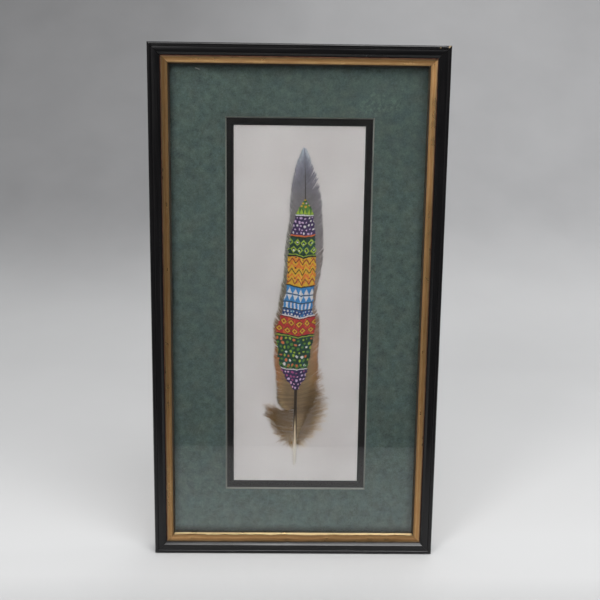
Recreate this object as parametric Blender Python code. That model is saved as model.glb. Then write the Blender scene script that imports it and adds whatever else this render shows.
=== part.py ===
"""A turkey wing feather, mounted on white board and framed under glass behind a green and a black mat.

The picture faces -Y and stands upright, with +Z up. The origin is on the wall plane, at the
middle of the hanger on the back of the top rail. Sizes are millimetres until the end, where
MM turns them into metres.
"""

import math

import bmesh
import bpy
import numpy as np
from mathutils import Matrix, Vector

MM = 0.001
TOUCH_GAP = 0.3  # what touching pieces keep between them

# Frame, outside, and the section of its moulding
FRAME_WIDTH = 270.0
FRAME_HEIGHT = 484.0
RAIL_WIDTH = 19.0
RAIL_DEPTH = 22.0
RABBET_WIDTH = 6.5
RABBET_DEPTH = 13.0
BEAD_RADIUS = 2.0
CROWN_INNER = 8.8  # where the black crown ends, in from the outer edge
VALLEY_INNER = 11.4  # the foot of the slope between the crown and the gilt
GILT_OUTER = 12.1  # where the gilt face starts
GILT_INNER = 17.1  # where it starts to turn down to the glass
GILT_ROUND = 0.6
MITRE_GAP = 0.2

# Layers behind the lip, from the front
GLASS_THICK = 2.0
MAT_THICK = 1.5
BOARD_THICK = 1.5
BACKING_THICK = 3.2
LAYER_SLACK = 1.0  # play between a layer's edge and the rabbet's wall

# Windows of the two mats, cut a little right of the middle
WINDOW_WIDTH = 133.0
WINDOW_HEIGHT = 354.4
MAT_REVEAL = 6.4
MAT_BEVEL = 1.3  # how much larger a window is at the mat's face than at its back
WINDOW_SHIFT = (1.2, -0.5)

# Back: paper, hanger, bumpers and the points that hold the layers in
PAPER_THICK = 0.4
PAPER_MARGIN = 3.0
HANGER_LENGTH = 44.0
HANGER_HEIGHT = 9.0
HANGER_SHEET = 0.8
HANGER_RISE = 1.2
HANGER_TAB = 6.5
TOOTH_PITCH = 2.0
TOOTH_DEPTH = 1.8
NAIL_RADIUS = 0.65
NAIL_HEAD_RADIUS = 1.8
NAIL_LENGTH = 9.0
BUMPER_RADIUS = 5.0
BUMPER_THICK = 2.0
BUMPER_INSET = 8.0
POINT_WIDTH = 7.0
POINT_THICK = 0.4
POINT_IN_WOOD = 7.0
POINT_OVER_BOARD = 6.0
LONG_RAIL_POINTS = (-165.0, 0.0, 165.0)
SHORT_RAIL_POINTS = (0.0,)

# Depths along Y: the wall is at 0 and the front is negative
BACK_Y = -3.0
FRONT_Y = BACK_Y - RAIL_DEPTH
GLASS_Y = BACK_Y - RABBET_DEPTH + TOUCH_GAP
OUTER_MAT_Y = GLASS_Y + GLASS_THICK + TOUCH_GAP
INNER_MAT_Y = OUTER_MAT_Y + MAT_THICK + TOUCH_GAP
BOARD_Y = INNER_MAT_Y + MAT_THICK + TOUCH_GAP
BACKING_Y = BOARD_Y + BOARD_THICK + TOUCH_GAP
POINT_Y = BACKING_Y + BACKING_THICK + TOUCH_GAP
PAPER_Y = BACK_Y + TOUCH_GAP
HANGER_Y = PAPER_Y + PAPER_THICK + TOUCH_GAP

# Heights along Z: the hanger sits on the middle of the top rail's back
HANGER_FROM_TOP = 6.5
TOP_Z = HANGER_FROM_TOP
CENTRE_Z = TOP_Z - FRAME_HEIGHT / 2
BOTTOM_Z = TOP_Z - FRAME_HEIGHT

# Feather, in the picture's plane, from the frame's centre. The shaft is (height, sideways,
# half width). Each vane is (height on the shaft where a barb starts, its tip sideways, its
# tip's height): the tips draw the feather's outline.
QUILL_END = -155.0
VANE_START = -131.0
DOWN_END = -98.0
VANE_END = 148.4
SHAFT = (
    (-155.0, -0.3, 0.8),
    (-152.0, -0.2, 1.4),
    (-140.0, 0.0, 1.6),
    (-110.0, 0.1, 1.55),
    (-70.0, 0.6, 1.4),
    (-20.0, 2.6, 1.15),
    (40.0, 5.4, 0.85),
    (95.0, 7.2, 0.55),
    (125.0, 6.7, 0.38),
    (149.0, 5.8, 0.22),
)
LEFT_VANE = (
    (-131.0, -7.0, -132.5),
    (-126.0, -17.0, -126.5),
    (-119.0, -24.0, -114.0),
    (-110.0, -28.3, -101.0),
    (-103.0, -25.5, -95.8),
    (-98.0, -11.0, -96.2),
    (-94.0, -13.8, -93.2),
    (-89.0, -17.0, -87.0),
    (-80.0, -17.6, -77.0),
    (-68.0, -18.9, -62.5),
    (-58.0, -21.6, -49.0),
    (-50.0, -20.9, -40.0),
    (-38.0, -22.2, -22.0),
    (-29.0, -21.4, -11.0),
    (-20.0, -18.2, -2.0),
    (-6.0, -16.3, 11.0),
    (10.0, -13.6, 27.0),
    (25.0, -12.2, 42.0),
    (40.0, -11.4, 58.0),
    (56.0, -9.4, 75.0),
    (68.0, -7.6, 87.0),
    (85.0, -7.0, 104.0),
    (100.0, -5.4, 119.0),
    (115.0, -2.3, 134.0),
    (130.0, 1.5, 144.0),
    (141.0, 4.0, 149.0),
    (148.4, 5.3, 150.9),
)
RIGHT_VANE = (
    (-131.0, 6.0, -132.5),
    (-125.0, 16.0, -126.0),
    (-117.0, 23.5, -115.0),
    (-107.0, 28.0, -102.0),
    (-98.0, 28.8, -92.0),
    (-88.0, 26.0, -80.0),
    (-78.0, 21.8, -67.0),
    (-66.0, 22.0, -53.0),
    (-56.0, 21.4, -43.0),
    (-46.0, 22.4, -33.0),
    (-36.0, 22.5, -23.0),
    (-27.0, 22.6, -13.5),
    (-20.0, 22.6, -6.5),
    (-12.0, 18.8, 1.0),
    (-3.0, 18.3, 10.0),
    (6.0, 19.8, 20.0),
    (17.0, 21.8, 31.0),
    (28.0, 23.7, 42.0),
    (40.0, 24.8, 54.0),
    (53.0, 25.0, 66.0),
    (66.0, 24.2, 79.0),
    (80.0, 23.1, 92.0),
    (93.0, 22.2, 105.0),
    (104.0, 19.8, 116.5),
    (113.0, 17.2, 125.5),
    (122.0, 13.8, 134.0),
    (132.0, 10.6, 142.5),
    (141.0, 7.8, 148.5),
    (148.4, 6.3, 150.9),
)
DOWN_LOCKS = 8
VANE_LOCKS = 28
ROWS_A_LOCK = 4
COLUMNS = (0.25, 0.5, 0.78, 1.0)
SHEET_THICK = 0.5
SHEET_EDGE_THICK = 0.35
SHEET_EDGE_HEIGHT = 0.32  # the vane's edge over the board's face
LOCK_RIDGE = 0.22
DOWN_NOTCH = 0.5  # how far the gaps between locks reach in, as a share of a barb
VANE_NOTCH = 0.05
RIGHT_DOWN_END = -76.0  # the right vane stays downy up to here
VANE_SPLITS = {  # deep gaps, by the barb's start on the shaft: (side, height, share)
    ("left", -98.0): 0.86,
    ("left", -45.5): 0.26,
    ("left", -24.5): 0.24,
    ("left", 59.5): 0.16,
    ("right", -72.0): 0.3,
    ("right", -15.0): 0.26,
    ("right", -50.0): 0.18,
    ("right", 103.0): 0.17,
    ("right", 118.0): 0.18,
}


def material(name, colour, roughness, metallic=0.0, transmission=0.0):
    """A Principled BSDF of one colour."""
    made = bpy.data.materials.new(name)
    made.use_nodes = True
    shader = made.node_tree.nodes["Principled BSDF"]
    shader.inputs["Base Color"].default_value = (*colour, 1.0)
    shader.inputs["Roughness"].default_value = roughness
    shader.inputs["Metallic"].default_value = metallic
    shader.inputs["Transmission Weight"].default_value = transmission
    made.diffuse_color = (*colour, 1.0)
    return made


def finish_object(name, bm, skin, smooth_angle=None):
    """Turns a bmesh in millimetres into a named object in metres."""
    bmesh.ops.recalc_face_normals(bm, faces=bm.faces)
    bmesh.ops.scale(bm, vec=(MM, MM, MM), verts=bm.verts)
    mesh = bpy.data.meshes.new(name)
    bm.to_mesh(mesh)
    bm.free()
    mesh.materials.append(skin)
    if smooth_angle is not None:
        mesh.shade_smooth()
        mesh.set_sharp_from_angle(angle=math.radians(smooth_angle))
    obj = bpy.data.objects.new(name, mesh)
    bpy.context.scene.collection.objects.link(obj)
    return obj


def cut(obj, cutters):
    """Takes each cutter out of the object, and leaves the cutters as hidden helpers."""
    for cutter in cutters:
        cutter.hide_render = True
        cutter.display_type = "WIRE"
        modifier = obj.modifiers.new(cutter.name, "BOOLEAN")
        modifier.operation = "DIFFERENCE"
        modifier.object = cutter


def box_bmesh(low, high):
    bm = bmesh.new()
    bmesh.ops.create_cube(bm, size=1.0)
    size = Vector(high) - Vector(low)
    bmesh.ops.scale(bm, vec=size, verts=bm.verts)
    bmesh.ops.translate(bm, vec=(Vector(low) + Vector(high)) / 2, verts=bm.verts)
    return bm


def slab(name, width, height, y_front, thick, skin):
    """A flat sheet centred on the frame, with its front face at y_front."""
    low = (-width / 2, y_front, CENTRE_Z - height / 2)
    high = (width / 2, y_front + thick, CENTRE_Z + height / 2)
    return finish_object(name, box_bmesh(low, high), skin)


def turned(name, profile, centre, skin, sides=20):
    """A round piece about the Y axis from (radius, y) points, both ends on the axis."""
    bm = bmesh.new()
    verts = [bm.verts.new((radius, y, 0.0)) for radius, y in profile]
    edges = [bm.edges.new(pair) for pair in zip(verts, verts[1:])]
    bmesh.ops.spin(
        bm,
        geom=verts + edges,
        cent=(0, 0, 0),
        axis=(0, 1, 0),
        angle=2 * math.pi,
        steps=sides,
        use_merge=True,
    )
    bmesh.ops.remove_doubles(bm, verts=bm.verts, dist=0.001)
    bmesh.ops.translate(bm, vec=centre, verts=bm.verts)
    return finish_object(name, bm, skin, smooth_angle=40)


def arc(centre, radius, start, end, steps):
    """Points of an arc in the moulding's section, angles in degrees from the inward axis."""
    angles = [math.radians(start + (end - start) * k / steps) for k in range(steps + 1)]
    return [
        (centre[0] + radius * math.cos(a), centre[1] + radius * math.sin(a))
        for a in angles
    ]


def hollow(start, end, sag, steps):
    """Points between two points of the section, sagging below the straight line or bulging."""
    points = []
    for k in range(1, steps):
        t = k / steps
        dip = sag * 4 * t * (1 - t)
        points.append(
            (
                start[0] + (end[0] - start[0]) * t,
                start[1] + (end[1] - start[1]) * t - dip,
            )
        )
    return points


def moulding_section():
    """The rail's section: (in from the outer edge, forward from the back)."""
    bead = arc((BEAD_RADIUS, RAIL_DEPTH - BEAD_RADIUS), BEAD_RADIUS, 180, 45, 6)
    groove = (BEAD_RADIUS + 1.75, RAIL_DEPTH - 1.0)
    crown_start = (BEAD_RADIUS + 2.0, RAIL_DEPTH - 0.75)
    crown_end = (CROWN_INNER, RAIL_DEPTH - 0.65)
    valley = (VALLEY_INNER, RAIL_DEPTH - 2.9)
    gilt_start = (GILT_OUTER, RAIL_DEPTH - 1.95)
    sight_round = arc((GILT_INNER, RAIL_DEPTH - 4.9), GILT_ROUND, 66, 0, 4)
    sight_foot = (RAIL_WIDTH, RABBET_DEPTH)
    return [
        (0.0, 0.0),
        *bead,
        groove,
        crown_start,
        *hollow(crown_start, crown_end, -0.3, 4),
        crown_end,
        *hollow(crown_end, valley, 0.12, 3),
        valley,
        gilt_start,
        *hollow(gilt_start, sight_round[0], -0.2, 4),
        *sight_round,
        *hollow(sight_round[-1], sight_foot, 0.35, 3),
        sight_foot,
        (RAIL_WIDTH - RABBET_WIDTH, RABBET_DEPTH),
        (RAIL_WIDTH - RABBET_WIDTH, 0.0),
    ]


def rail_matrix(side):
    """Places a rail that was made along X, with its outer edge at Z 0 and its inside up."""
    half_width, half_height = FRAME_WIDTH / 2, FRAME_HEIGHT / 2
    turns = {"bottom": 0, "right": -90, "top": 180, "left": 90}
    reach = half_height if side in ("bottom", "top") else half_width
    place = Matrix.Translation((0, 0, CENTRE_Z))
    turn = Matrix.Rotation(math.radians(turns[side]), 4, "Y")
    return place @ turn @ Matrix.Translation((0, 0, -reach))


def rail(side, skin):
    """One mitred length of moulding, extruded and then slanted at its ends."""
    length = FRAME_WIDTH if side in ("bottom", "top") else FRAME_HEIGHT
    bm = bmesh.new()
    section = moulding_section()
    face = bm.faces.new([bm.verts.new((0, BACK_Y - v, u)) for u, v in section])
    made = bmesh.ops.extrude_face_region(bm, geom=[face])
    far = {item for item in made["geom"] if isinstance(item, bmesh.types.BMVert)}
    for vert in bm.verts:
        end = length / 2 - vert.co.z - MITRE_GAP * math.sqrt(0.5)
        vert.co.x = end if vert in far else -end
    bmesh.ops.transform(bm, matrix=rail_matrix(side), verts=bm.verts)
    return finish_object(f"rail_{side}", bm, skin, smooth_angle=28)


def window_bmesh(size, window, y_front, thick):
    """A sheet with a bevel-cut window: four loops of corners, joined in turn and closed."""
    wide = (window[0] + 2 * MAT_BEVEL, window[1] + 2 * MAT_BEVEL)
    bm = bmesh.new()
    loops = []
    for (width, height), (dx, dz), y in (
        (size, (0, 0), y_front),
        (wide, WINDOW_SHIFT, y_front),
        (window, WINDOW_SHIFT, y_front + thick),
        (size, (0, 0), y_front + thick),
    ):
        corners = ((-1, -1), (1, -1), (1, 1), (-1, 1))
        loop = [
            bm.verts.new((dx + sx * width / 2, y, CENTRE_Z + dz + sz * height / 2))
            for sx, sz in corners
        ]
        loops.append(loop)
    for loop, following in zip(loops, [*loops[1:], loops[0]]):
        for k in range(4):
            n = (k + 1) % 4
            bm.faces.new((loop[k], loop[n], following[n], following[k]))
    return bm


def layer_size():
    """Width and height of everything that sits in the rabbet."""
    lost = 2 * (RAIL_WIDTH - RABBET_WIDTH + LAYER_SLACK)
    return FRAME_WIDTH - lost, FRAME_HEIGHT - lost


def mats(green, black):
    size = layer_size()
    outer_window = (WINDOW_WIDTH, WINDOW_HEIGHT)
    inner_window = (WINDOW_WIDTH - 2 * MAT_REVEAL, WINDOW_HEIGHT - 2 * MAT_REVEAL)
    for name, window, y_front, skin in (
        ("outer_mat", outer_window, OUTER_MAT_Y, green),
        ("inner_mat", inner_window, INNER_MAT_Y, black),
    ):
        bm = window_bmesh(size, window, y_front, MAT_THICK)
        finish_object(name, bm, skin)


def read_table(table, key):
    """A smooth value from rows of (key, value, ...), by cubic pieces between the rows."""
    rows = np.array(table, float)
    keys, values = rows[:, 0], rows[:, 1:]
    slopes = np.gradient(values, keys, axis=0)
    key = min(max(key, keys[0]), keys[-1])
    i = min(int(np.searchsorted(keys, key, side="right")) - 1, len(keys) - 2)
    span = keys[i + 1] - keys[i]
    t = (key - keys[i]) / span
    start, end = values[i], values[i + 1]
    out, into = slopes[i] * span, slopes[i + 1] * span
    return (
        (2 * t**3 - 3 * t**2 + 1) * start
        + (t**3 - 2 * t**2 + t) * out
        + (3 * t**2 - 2 * t**3) * end
        + (t**3 - t**2) * into
    )


def barb_rows():
    """Heights on the shaft where the rows of the vane start, closer together in the down."""
    down = np.linspace(VANE_START, DOWN_END, DOWN_LOCKS * ROWS_A_LOCK + 1)
    vane = np.linspace(DOWN_END, VANE_END, VANE_LOCKS * ROWS_A_LOCK + 1)
    return [*down[:-1], *vane]


def barb_share(side, index, height):
    """How much of its length the barb of a row keeps: less in the gaps between locks."""
    phase = 0 if side == "left" else ROWS_A_LOCK // 2
    if (index + phase) % ROWS_A_LOCK:
        return 1.0
    lock_pitch = (VANE_END - DOWN_END) / VANE_LOCKS
    for (split_side, split_height), share in VANE_SPLITS.items():
        if split_side == side and abs(split_height - height) <= lock_pitch / 2:
            return 1.0 - share
    if height < DOWN_END:
        return 1.0 - DOWN_NOTCH
    if side == "right" and height < RIGHT_DOWN_END:
        return 1.0 - DOWN_NOTCH / 2
    return 1.0 - VANE_NOTCH


def barb_points(side, index, height, shaft_x, half_width):
    """Points along one barb, (sideways, height, share of the way out)."""
    sign = -1 if side == "left" else 1
    table = LEFT_VANE if side == "left" else RIGHT_VANE
    root = np.array((shaft_x + sign * half_width, height))
    tip = np.array(read_table(table, height))
    rise = 0.05 if height < DOWN_END else 0.24
    bend = root + (tip - root) * np.array((0.55, rise))
    points = []
    for column in COLUMNS:
        r = column * barb_share(side, index, height)
        x, z = (1 - r) ** 2 * root + 2 * r * (1 - r) * bend + r**2 * tip
        points.append((x, z, r))
    return points


def feather_section(index, height, with_vane):
    """One row of the feather: its shaft's ring and its two vane strips, as (x, y, z)."""
    shaft_x, half_width = read_table(SHAFT, height)
    side_height = max(0.9 * half_width, SHEET_THICK / 2 + 0.06)
    top, bottom = side_height + SHEET_THICK / 2, side_height - SHEET_THICK / 2
    crown = 0.75 * half_width
    face = BOARD_Y - TOUCH_GAP

    def place(x, up, z):
        return x, face - up, z + CENTRE_Z

    across = [math.cos(math.radians(a)) for a in (180, 135, 90, 45, 0)]
    lift = [math.sin(math.radians(a)) for a in (180, 135, 90, 45, 0)]
    over = [
        place(shaft_x + half_width * c, top + crown * s, height)
        for c, s in zip(across, lift)
    ]
    under = [
        place(shaft_x + half_width * c, bottom * (1 - s), height)
        for c, s in zip(across, lift)
    ]
    if not with_vane:
        return over, under, None
    strips = {}
    ridge = LOCK_RIDGE * math.sin(math.pi * (index % ROWS_A_LOCK) / ROWS_A_LOCK)
    for side in ("left", "right"):
        upper, lower = [], []
        for x, z, r in barb_points(side, index, height, shaft_x, half_width):
            middle = SHEET_EDGE_HEIGHT + (side_height - SHEET_EDGE_HEIGHT) * (1 - r) ** 1.5
            thick = SHEET_THICK + (SHEET_EDGE_THICK - SHEET_THICK) * r
            upper.append(place(x, middle + thick / 2 + ridge * r, z))
            lower.append(place(x, max(middle - thick / 2, 0.05), z))
        strips[side] = (upper, lower)
    return over, under, strips


def feather(skin):
    """One closed surface: a ring of points runs up the shaft, and a strip joins it each side."""
    bm = bmesh.new()

    def verts_of(points):
        return [bm.verts.new(p) for p in points]

    quill = np.linspace(QUILL_END, VANE_START, 7)[:-1]
    rows = []
    for height in quill:
        over, under, _ = feather_section(0, height, False)
        rows.append((verts_of(over), verts_of(under), None))
    for index, height in enumerate(barb_rows()):
        over, under, strips = feather_section(index, height, True)
        sheets = {
            side: (verts_of(upper), verts_of(lower))
            for side, (upper, lower) in strips.items()
        }
        rows.append((verts_of(over), verts_of(under), sheets))

    def side_lines(row):
        """Upper and lower points from the shaft out to the vane's edge, for each side."""
        over, under, sheets = row
        return {
            side: ([over[end], *sheets[side][0]], [under[end], *sheets[side][1]])
            for side, end in (("left", 0), ("right", -1))
        }

    for this, following in zip(rows, rows[1:]):
        for line in (0, 1):
            for a, b, c, d in zip(
                this[line], this[line][1:], following[line][1:], following[line]
            ):
                bm.faces.new((a, b, c, d))
        if this[2] is None:
            for end in (0, -1):
                bm.faces.new(
                    (this[0][end], this[1][end], following[1][end], following[0][end])
                )
            continue
        here, there = side_lines(this), side_lines(following)
        for side in ("left", "right"):
            for line in (0, 1):
                p, q = here[side][line], there[side][line]
                for k in range(len(COLUMNS)):
                    bm.faces.new((p[k], p[k + 1], q[k + 1], q[k]))
            bm.faces.new(
                (
                    here[side][0][-1],
                    here[side][1][-1],
                    there[side][1][-1],
                    there[side][0][-1],
                )
            )
    for row in (rows[len(quill)], rows[-1]):
        for upper, lower in side_lines(row).values():
            for k in range(len(COLUMNS)):
                bm.faces.new((upper[k], upper[k + 1], lower[k + 1], lower[k]))
    for row in (rows[0], rows[-1]):
        bm.faces.new([*row[0], *reversed(row[1])])
    return finish_object("feather", bm, skin, smooth_angle=50)


def point_places():
    """(rail side, distance along it) of each point."""
    places = []
    for side in ("left", "right"):
        places += [(side, along) for along in LONG_RAIL_POINTS]
    for side in ("bottom", "top"):
        places += [(side, along) for along in SHORT_RAIL_POINTS]
    return places


def points(rails, steel):
    """Flat steel points, half driven into slots in the rails and half over the backing."""
    wall = RAIL_WIDTH - RABBET_WIDTH
    numbers = {}
    for side, along in point_places():
        numbers[side] = numbers.get(side, 0) + 1
        name = f"point_{side}_{numbers[side]}"
        place = rail_matrix(side)
        half = POINT_WIDTH / 2
        outline = (
            (along - half, wall + POINT_OVER_BOARD),
            (along - half, wall - POINT_IN_WOOD * 0.55),
            (along, wall - POINT_IN_WOOD),
            (along + half, wall - POINT_IN_WOOD * 0.55),
            (along + half, wall + POINT_OVER_BOARD),
        )
        bm = bmesh.new()
        face = bm.faces.new([bm.verts.new((x, POINT_Y, z)) for x, z in outline])
        made = bmesh.ops.extrude_face_region(bm, geom=[face])
        back = [item for item in made["geom"] if isinstance(item, bmesh.types.BMVert)]
        bmesh.ops.translate(bm, vec=(0, POINT_THICK, 0), verts=back)
        bmesh.ops.transform(bm, matrix=place, verts=bm.verts)
        finish_object(name, bm, steel)
        slot = box_bmesh(
            (along - half - TOUCH_GAP, POINT_Y - TOUCH_GAP, wall - POINT_IN_WOOD - 0.4),
            (along + half + TOUCH_GAP, POINT_Y + POINT_THICK + TOUCH_GAP, wall + 1),
        )
        bmesh.ops.transform(slot, matrix=place, verts=slot.verts)
        cutter = finish_object(f"slot_for_{name}", slot, steel)
        cut(rails[side], [cutter])


def nail_holes(name, radius, y_low, y_high, skin):
    """Round cutters on the two nails' axes."""
    cutters = []
    for number, x in enumerate(nail_places(), 1):
        profile = ((0.0, y_low), (radius, y_low), (radius, y_high), (0.0, y_high))
        cutters.append(turned(f"{name}_{number}", profile, (x, 0, 0), skin, sides=16))
    return cutters


def nail_places():
    reach = (HANGER_LENGTH - HANGER_TAB) / 2
    return (-reach, reach)


def nails(steel):
    head_y = HANGER_Y + HANGER_SHEET + TOUCH_GAP
    profile = (
        (0.0, head_y - NAIL_LENGTH),
        (NAIL_RADIUS, head_y - NAIL_LENGTH + 1.6),
        (NAIL_RADIUS, head_y),
        (NAIL_HEAD_RADIUS, head_y),
        (NAIL_HEAD_RADIUS * 0.92, head_y + 0.35),
        (NAIL_HEAD_RADIUS * 0.5, head_y + 0.6),
        (0.0, head_y + 0.68),
    )
    for number, x in enumerate(nail_places(), 1):
        turned(f"nail_{number}", profile, (x, 0, 0), steel, sides=14)


def hanger(steel):
    """A toothed strip: nailed tabs at its ends and a raised middle that a wall nail catches."""
    half, tab, top = HANGER_LENGTH / 2, HANGER_TAB, HANGER_HEIGHT / 2
    ramp = half - tab - 1.6
    teeth = int(2 * (ramp - 1) / TOOTH_PITCH)
    columns = [(-half, -top), (-half + tab, -top), (-ramp, -top)]
    start = -teeth * TOOTH_PITCH / 2
    for k in range(2 * teeth + 1):
        depth = TOOTH_DEPTH if k % 2 else 0.0
        columns.append((start + k * TOOTH_PITCH / 2, -top + depth))
    columns += [(ramp, -top), (half - tab, -top), (half, -top)]
    bm = bmesh.new()
    lines = []
    for x, low in columns:
        rise = HANGER_RISE if abs(x) <= ramp + 0.01 else 0.0
        y = HANGER_Y + rise
        lines.append([bm.verts.new((x, y, low)), bm.verts.new((x, y, top))])
    for this, following in zip(lines, lines[1:]):
        bm.faces.new((this[0], following[0], following[1], this[1]))
    made = bmesh.ops.extrude_face_region(bm, geom=list(bm.faces))
    back = [item for item in made["geom"] if isinstance(item, bmesh.types.BMVert)]
    bmesh.ops.translate(bm, vec=(0, HANGER_SHEET, 0), verts=back)
    made = finish_object("hanger", bm, steel)
    reach = (HANGER_Y - 1, HANGER_Y + HANGER_SHEET + 1)
    cut(made, nail_holes("hole_in_hanger", NAIL_RADIUS + TOUCH_GAP, *reach, steel))


def dust_cover(paper):
    made = slab(
        "dust_cover",
        FRAME_WIDTH - 2 * PAPER_MARGIN,
        FRAME_HEIGHT - 2 * PAPER_MARGIN,
        PAPER_Y,
        PAPER_THICK,
        paper,
    )
    reach = (PAPER_Y - 1, PAPER_Y + PAPER_THICK + 1)
    cut(made, nail_holes("hole_in_cover", NAIL_RADIUS + TOUCH_GAP, *reach, paper))


def bumpers(felt):
    profile = (
        (0.0, -BUMPER_THICK),
        (BUMPER_RADIUS, -BUMPER_THICK),
        (BUMPER_RADIUS, -0.4),
        (BUMPER_RADIUS - 0.4, 0.0),
        (0.0, 0.0),
    )
    reach = FRAME_WIDTH / 2 - BUMPER_INSET
    for side, x in (("left", -reach), ("right", reach)):
        centre = (x, 0, BOTTOM_Z + BUMPER_INSET)
        turned(f"bumper_{side}", profile, centre, felt, sides=24)


def clear_scene():
    for obj in list(bpy.data.objects):
        bpy.data.objects.remove(obj)


def main():
    clear_scene()
    lacquer = material("black_lacquer", (0.012, 0.011, 0.012), 0.35)
    steel = material("steel", (0.55, 0.54, 0.5), 0.35, metallic=1.0)
    rails = {side: rail(side, lacquer) for side in ("bottom", "right", "top", "left")}
    width, height = layer_size()
    glass = material("glass", (0.95, 0.98, 0.97), 0.02, transmission=1.0)
    slab("glass", width, height, GLASS_Y, GLASS_THICK, glass)
    mats(
        material("green_mat_paper", (0.075, 0.115, 0.105), 0.9),
        material("black_mat_paper", (0.018, 0.017, 0.016), 0.85),
    )
    white = material("white_board", (0.62, 0.6, 0.57), 0.9)
    slab("art_board", width, height, BOARD_Y, BOARD_THICK, white)
    feather(material("feather", (0.16, 0.14, 0.12), 0.7))
    grey = material("grey_board", (0.3, 0.27, 0.22), 0.9)
    slab("backing_board", width, height, BACKING_Y, BACKING_THICK, grey)
    points(rails, steel)
    dust_cover(material("kraft_paper", (0.36, 0.23, 0.12), 0.85))
    hanger(steel)
    nails(steel)
    depth = BACK_Y - NAIL_LENGTH
    cut(rails["top"], nail_holes("bore", NAIL_RADIUS + 0.15, depth, BACK_Y + 1, lacquer))
    bumpers(material("felt", (0.03, 0.03, 0.03), 0.95))


main()
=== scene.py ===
"""The looks of a painted turkey wing feather, matted and framed under glass.

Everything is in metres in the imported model's frame: the wall plane is Y = 0, the picture faces
-Y, +Z is up. Sizes that describe the object are written in millimetres and turned with MM.
"""

import math

import bmesh
import bpy
import numpy as np
from mathutils import Matrix, Vector


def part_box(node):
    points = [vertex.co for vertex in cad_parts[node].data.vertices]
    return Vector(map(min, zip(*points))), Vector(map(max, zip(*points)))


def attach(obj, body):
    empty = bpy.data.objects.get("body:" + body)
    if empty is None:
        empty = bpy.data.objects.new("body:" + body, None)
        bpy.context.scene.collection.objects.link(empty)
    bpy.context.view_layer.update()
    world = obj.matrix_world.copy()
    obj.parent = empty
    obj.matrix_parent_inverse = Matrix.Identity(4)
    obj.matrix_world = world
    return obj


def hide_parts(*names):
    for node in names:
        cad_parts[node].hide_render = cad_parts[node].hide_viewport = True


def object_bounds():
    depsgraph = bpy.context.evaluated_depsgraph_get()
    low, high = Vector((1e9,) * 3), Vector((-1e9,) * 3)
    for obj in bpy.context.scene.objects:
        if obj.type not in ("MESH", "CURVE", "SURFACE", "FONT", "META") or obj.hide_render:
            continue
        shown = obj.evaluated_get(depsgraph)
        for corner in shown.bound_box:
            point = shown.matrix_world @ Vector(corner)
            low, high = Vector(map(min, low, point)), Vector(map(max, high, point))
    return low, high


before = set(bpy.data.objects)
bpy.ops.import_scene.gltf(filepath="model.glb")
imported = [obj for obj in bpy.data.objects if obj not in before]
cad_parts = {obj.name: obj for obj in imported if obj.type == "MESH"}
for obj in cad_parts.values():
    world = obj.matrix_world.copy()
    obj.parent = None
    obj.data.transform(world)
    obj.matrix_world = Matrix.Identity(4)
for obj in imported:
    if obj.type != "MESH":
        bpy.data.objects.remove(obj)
CAD_BOX = [list(corner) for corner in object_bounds()]

MM = 0.001
SEED = 7
BODY = "root"

# The frame and its layers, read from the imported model, in millimetres
FRAME_LOW, FRAME_HIGH = (np.array(corner) / MM for corner in CAD_BOX)
FRAME_WIDTH = FRAME_HIGH[0] - FRAME_LOW[0]
FRAME_HEIGHT = FRAME_HIGH[2] - FRAME_LOW[2]
CENTRE_Z = (FRAME_HIGH[2] + FRAME_LOW[2]) / 2
FRONT_Y = FRAME_LOW[1]
BACK_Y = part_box("rail_top")[1][1] / MM
BOARD_FACE_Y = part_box("art_board")[0][1] / MM
PAPER_LOW, PAPER_HIGH = (np.array(corner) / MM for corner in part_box("dust_cover"))
HANGER_LOW, HANGER_HIGH = (np.array(corner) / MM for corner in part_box("hanger"))

# The photograph's camera, fitted to the frame's corners: the frame's front plane as the camera
# sees it, with x right, y up and z towards the viewer
CAMERA_LENS = 57.92
CAMERA_TURNS = (11.21, 1.06, -0.55)  # about x, y and z, in degrees
CAMERA_SHIFT = (-3.3, -11.2, -897.3)

# How bright a white card on the board would be: colours are given as they look there, 0 to 255
LIGHT_LEVEL = 0.62

# Moulding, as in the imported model
RAIL_WIDTH = 19.0
RAIL_DEPTH = BACK_Y - FRONT_Y
RABBET_WIDTH = 6.5
RABBET_DEPTH = 13.0
BEAD_RADIUS = 2.0
CROWN_INNER = 8.8
VALLEY_INNER = 11.4
GILT_OUTER = 12.1
GILT_INNER = 17.1
GILT_ROUND = 0.6
MITRE_GAP = 0.2
SIGHT_HALF_WIDTH = FRAME_WIDTH / 2 - GILT_INNER - GILT_ROUND
SIGHT_HALF_HEIGHT = FRAME_HEIGHT / 2 - GILT_INNER - GILT_ROUND

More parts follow.
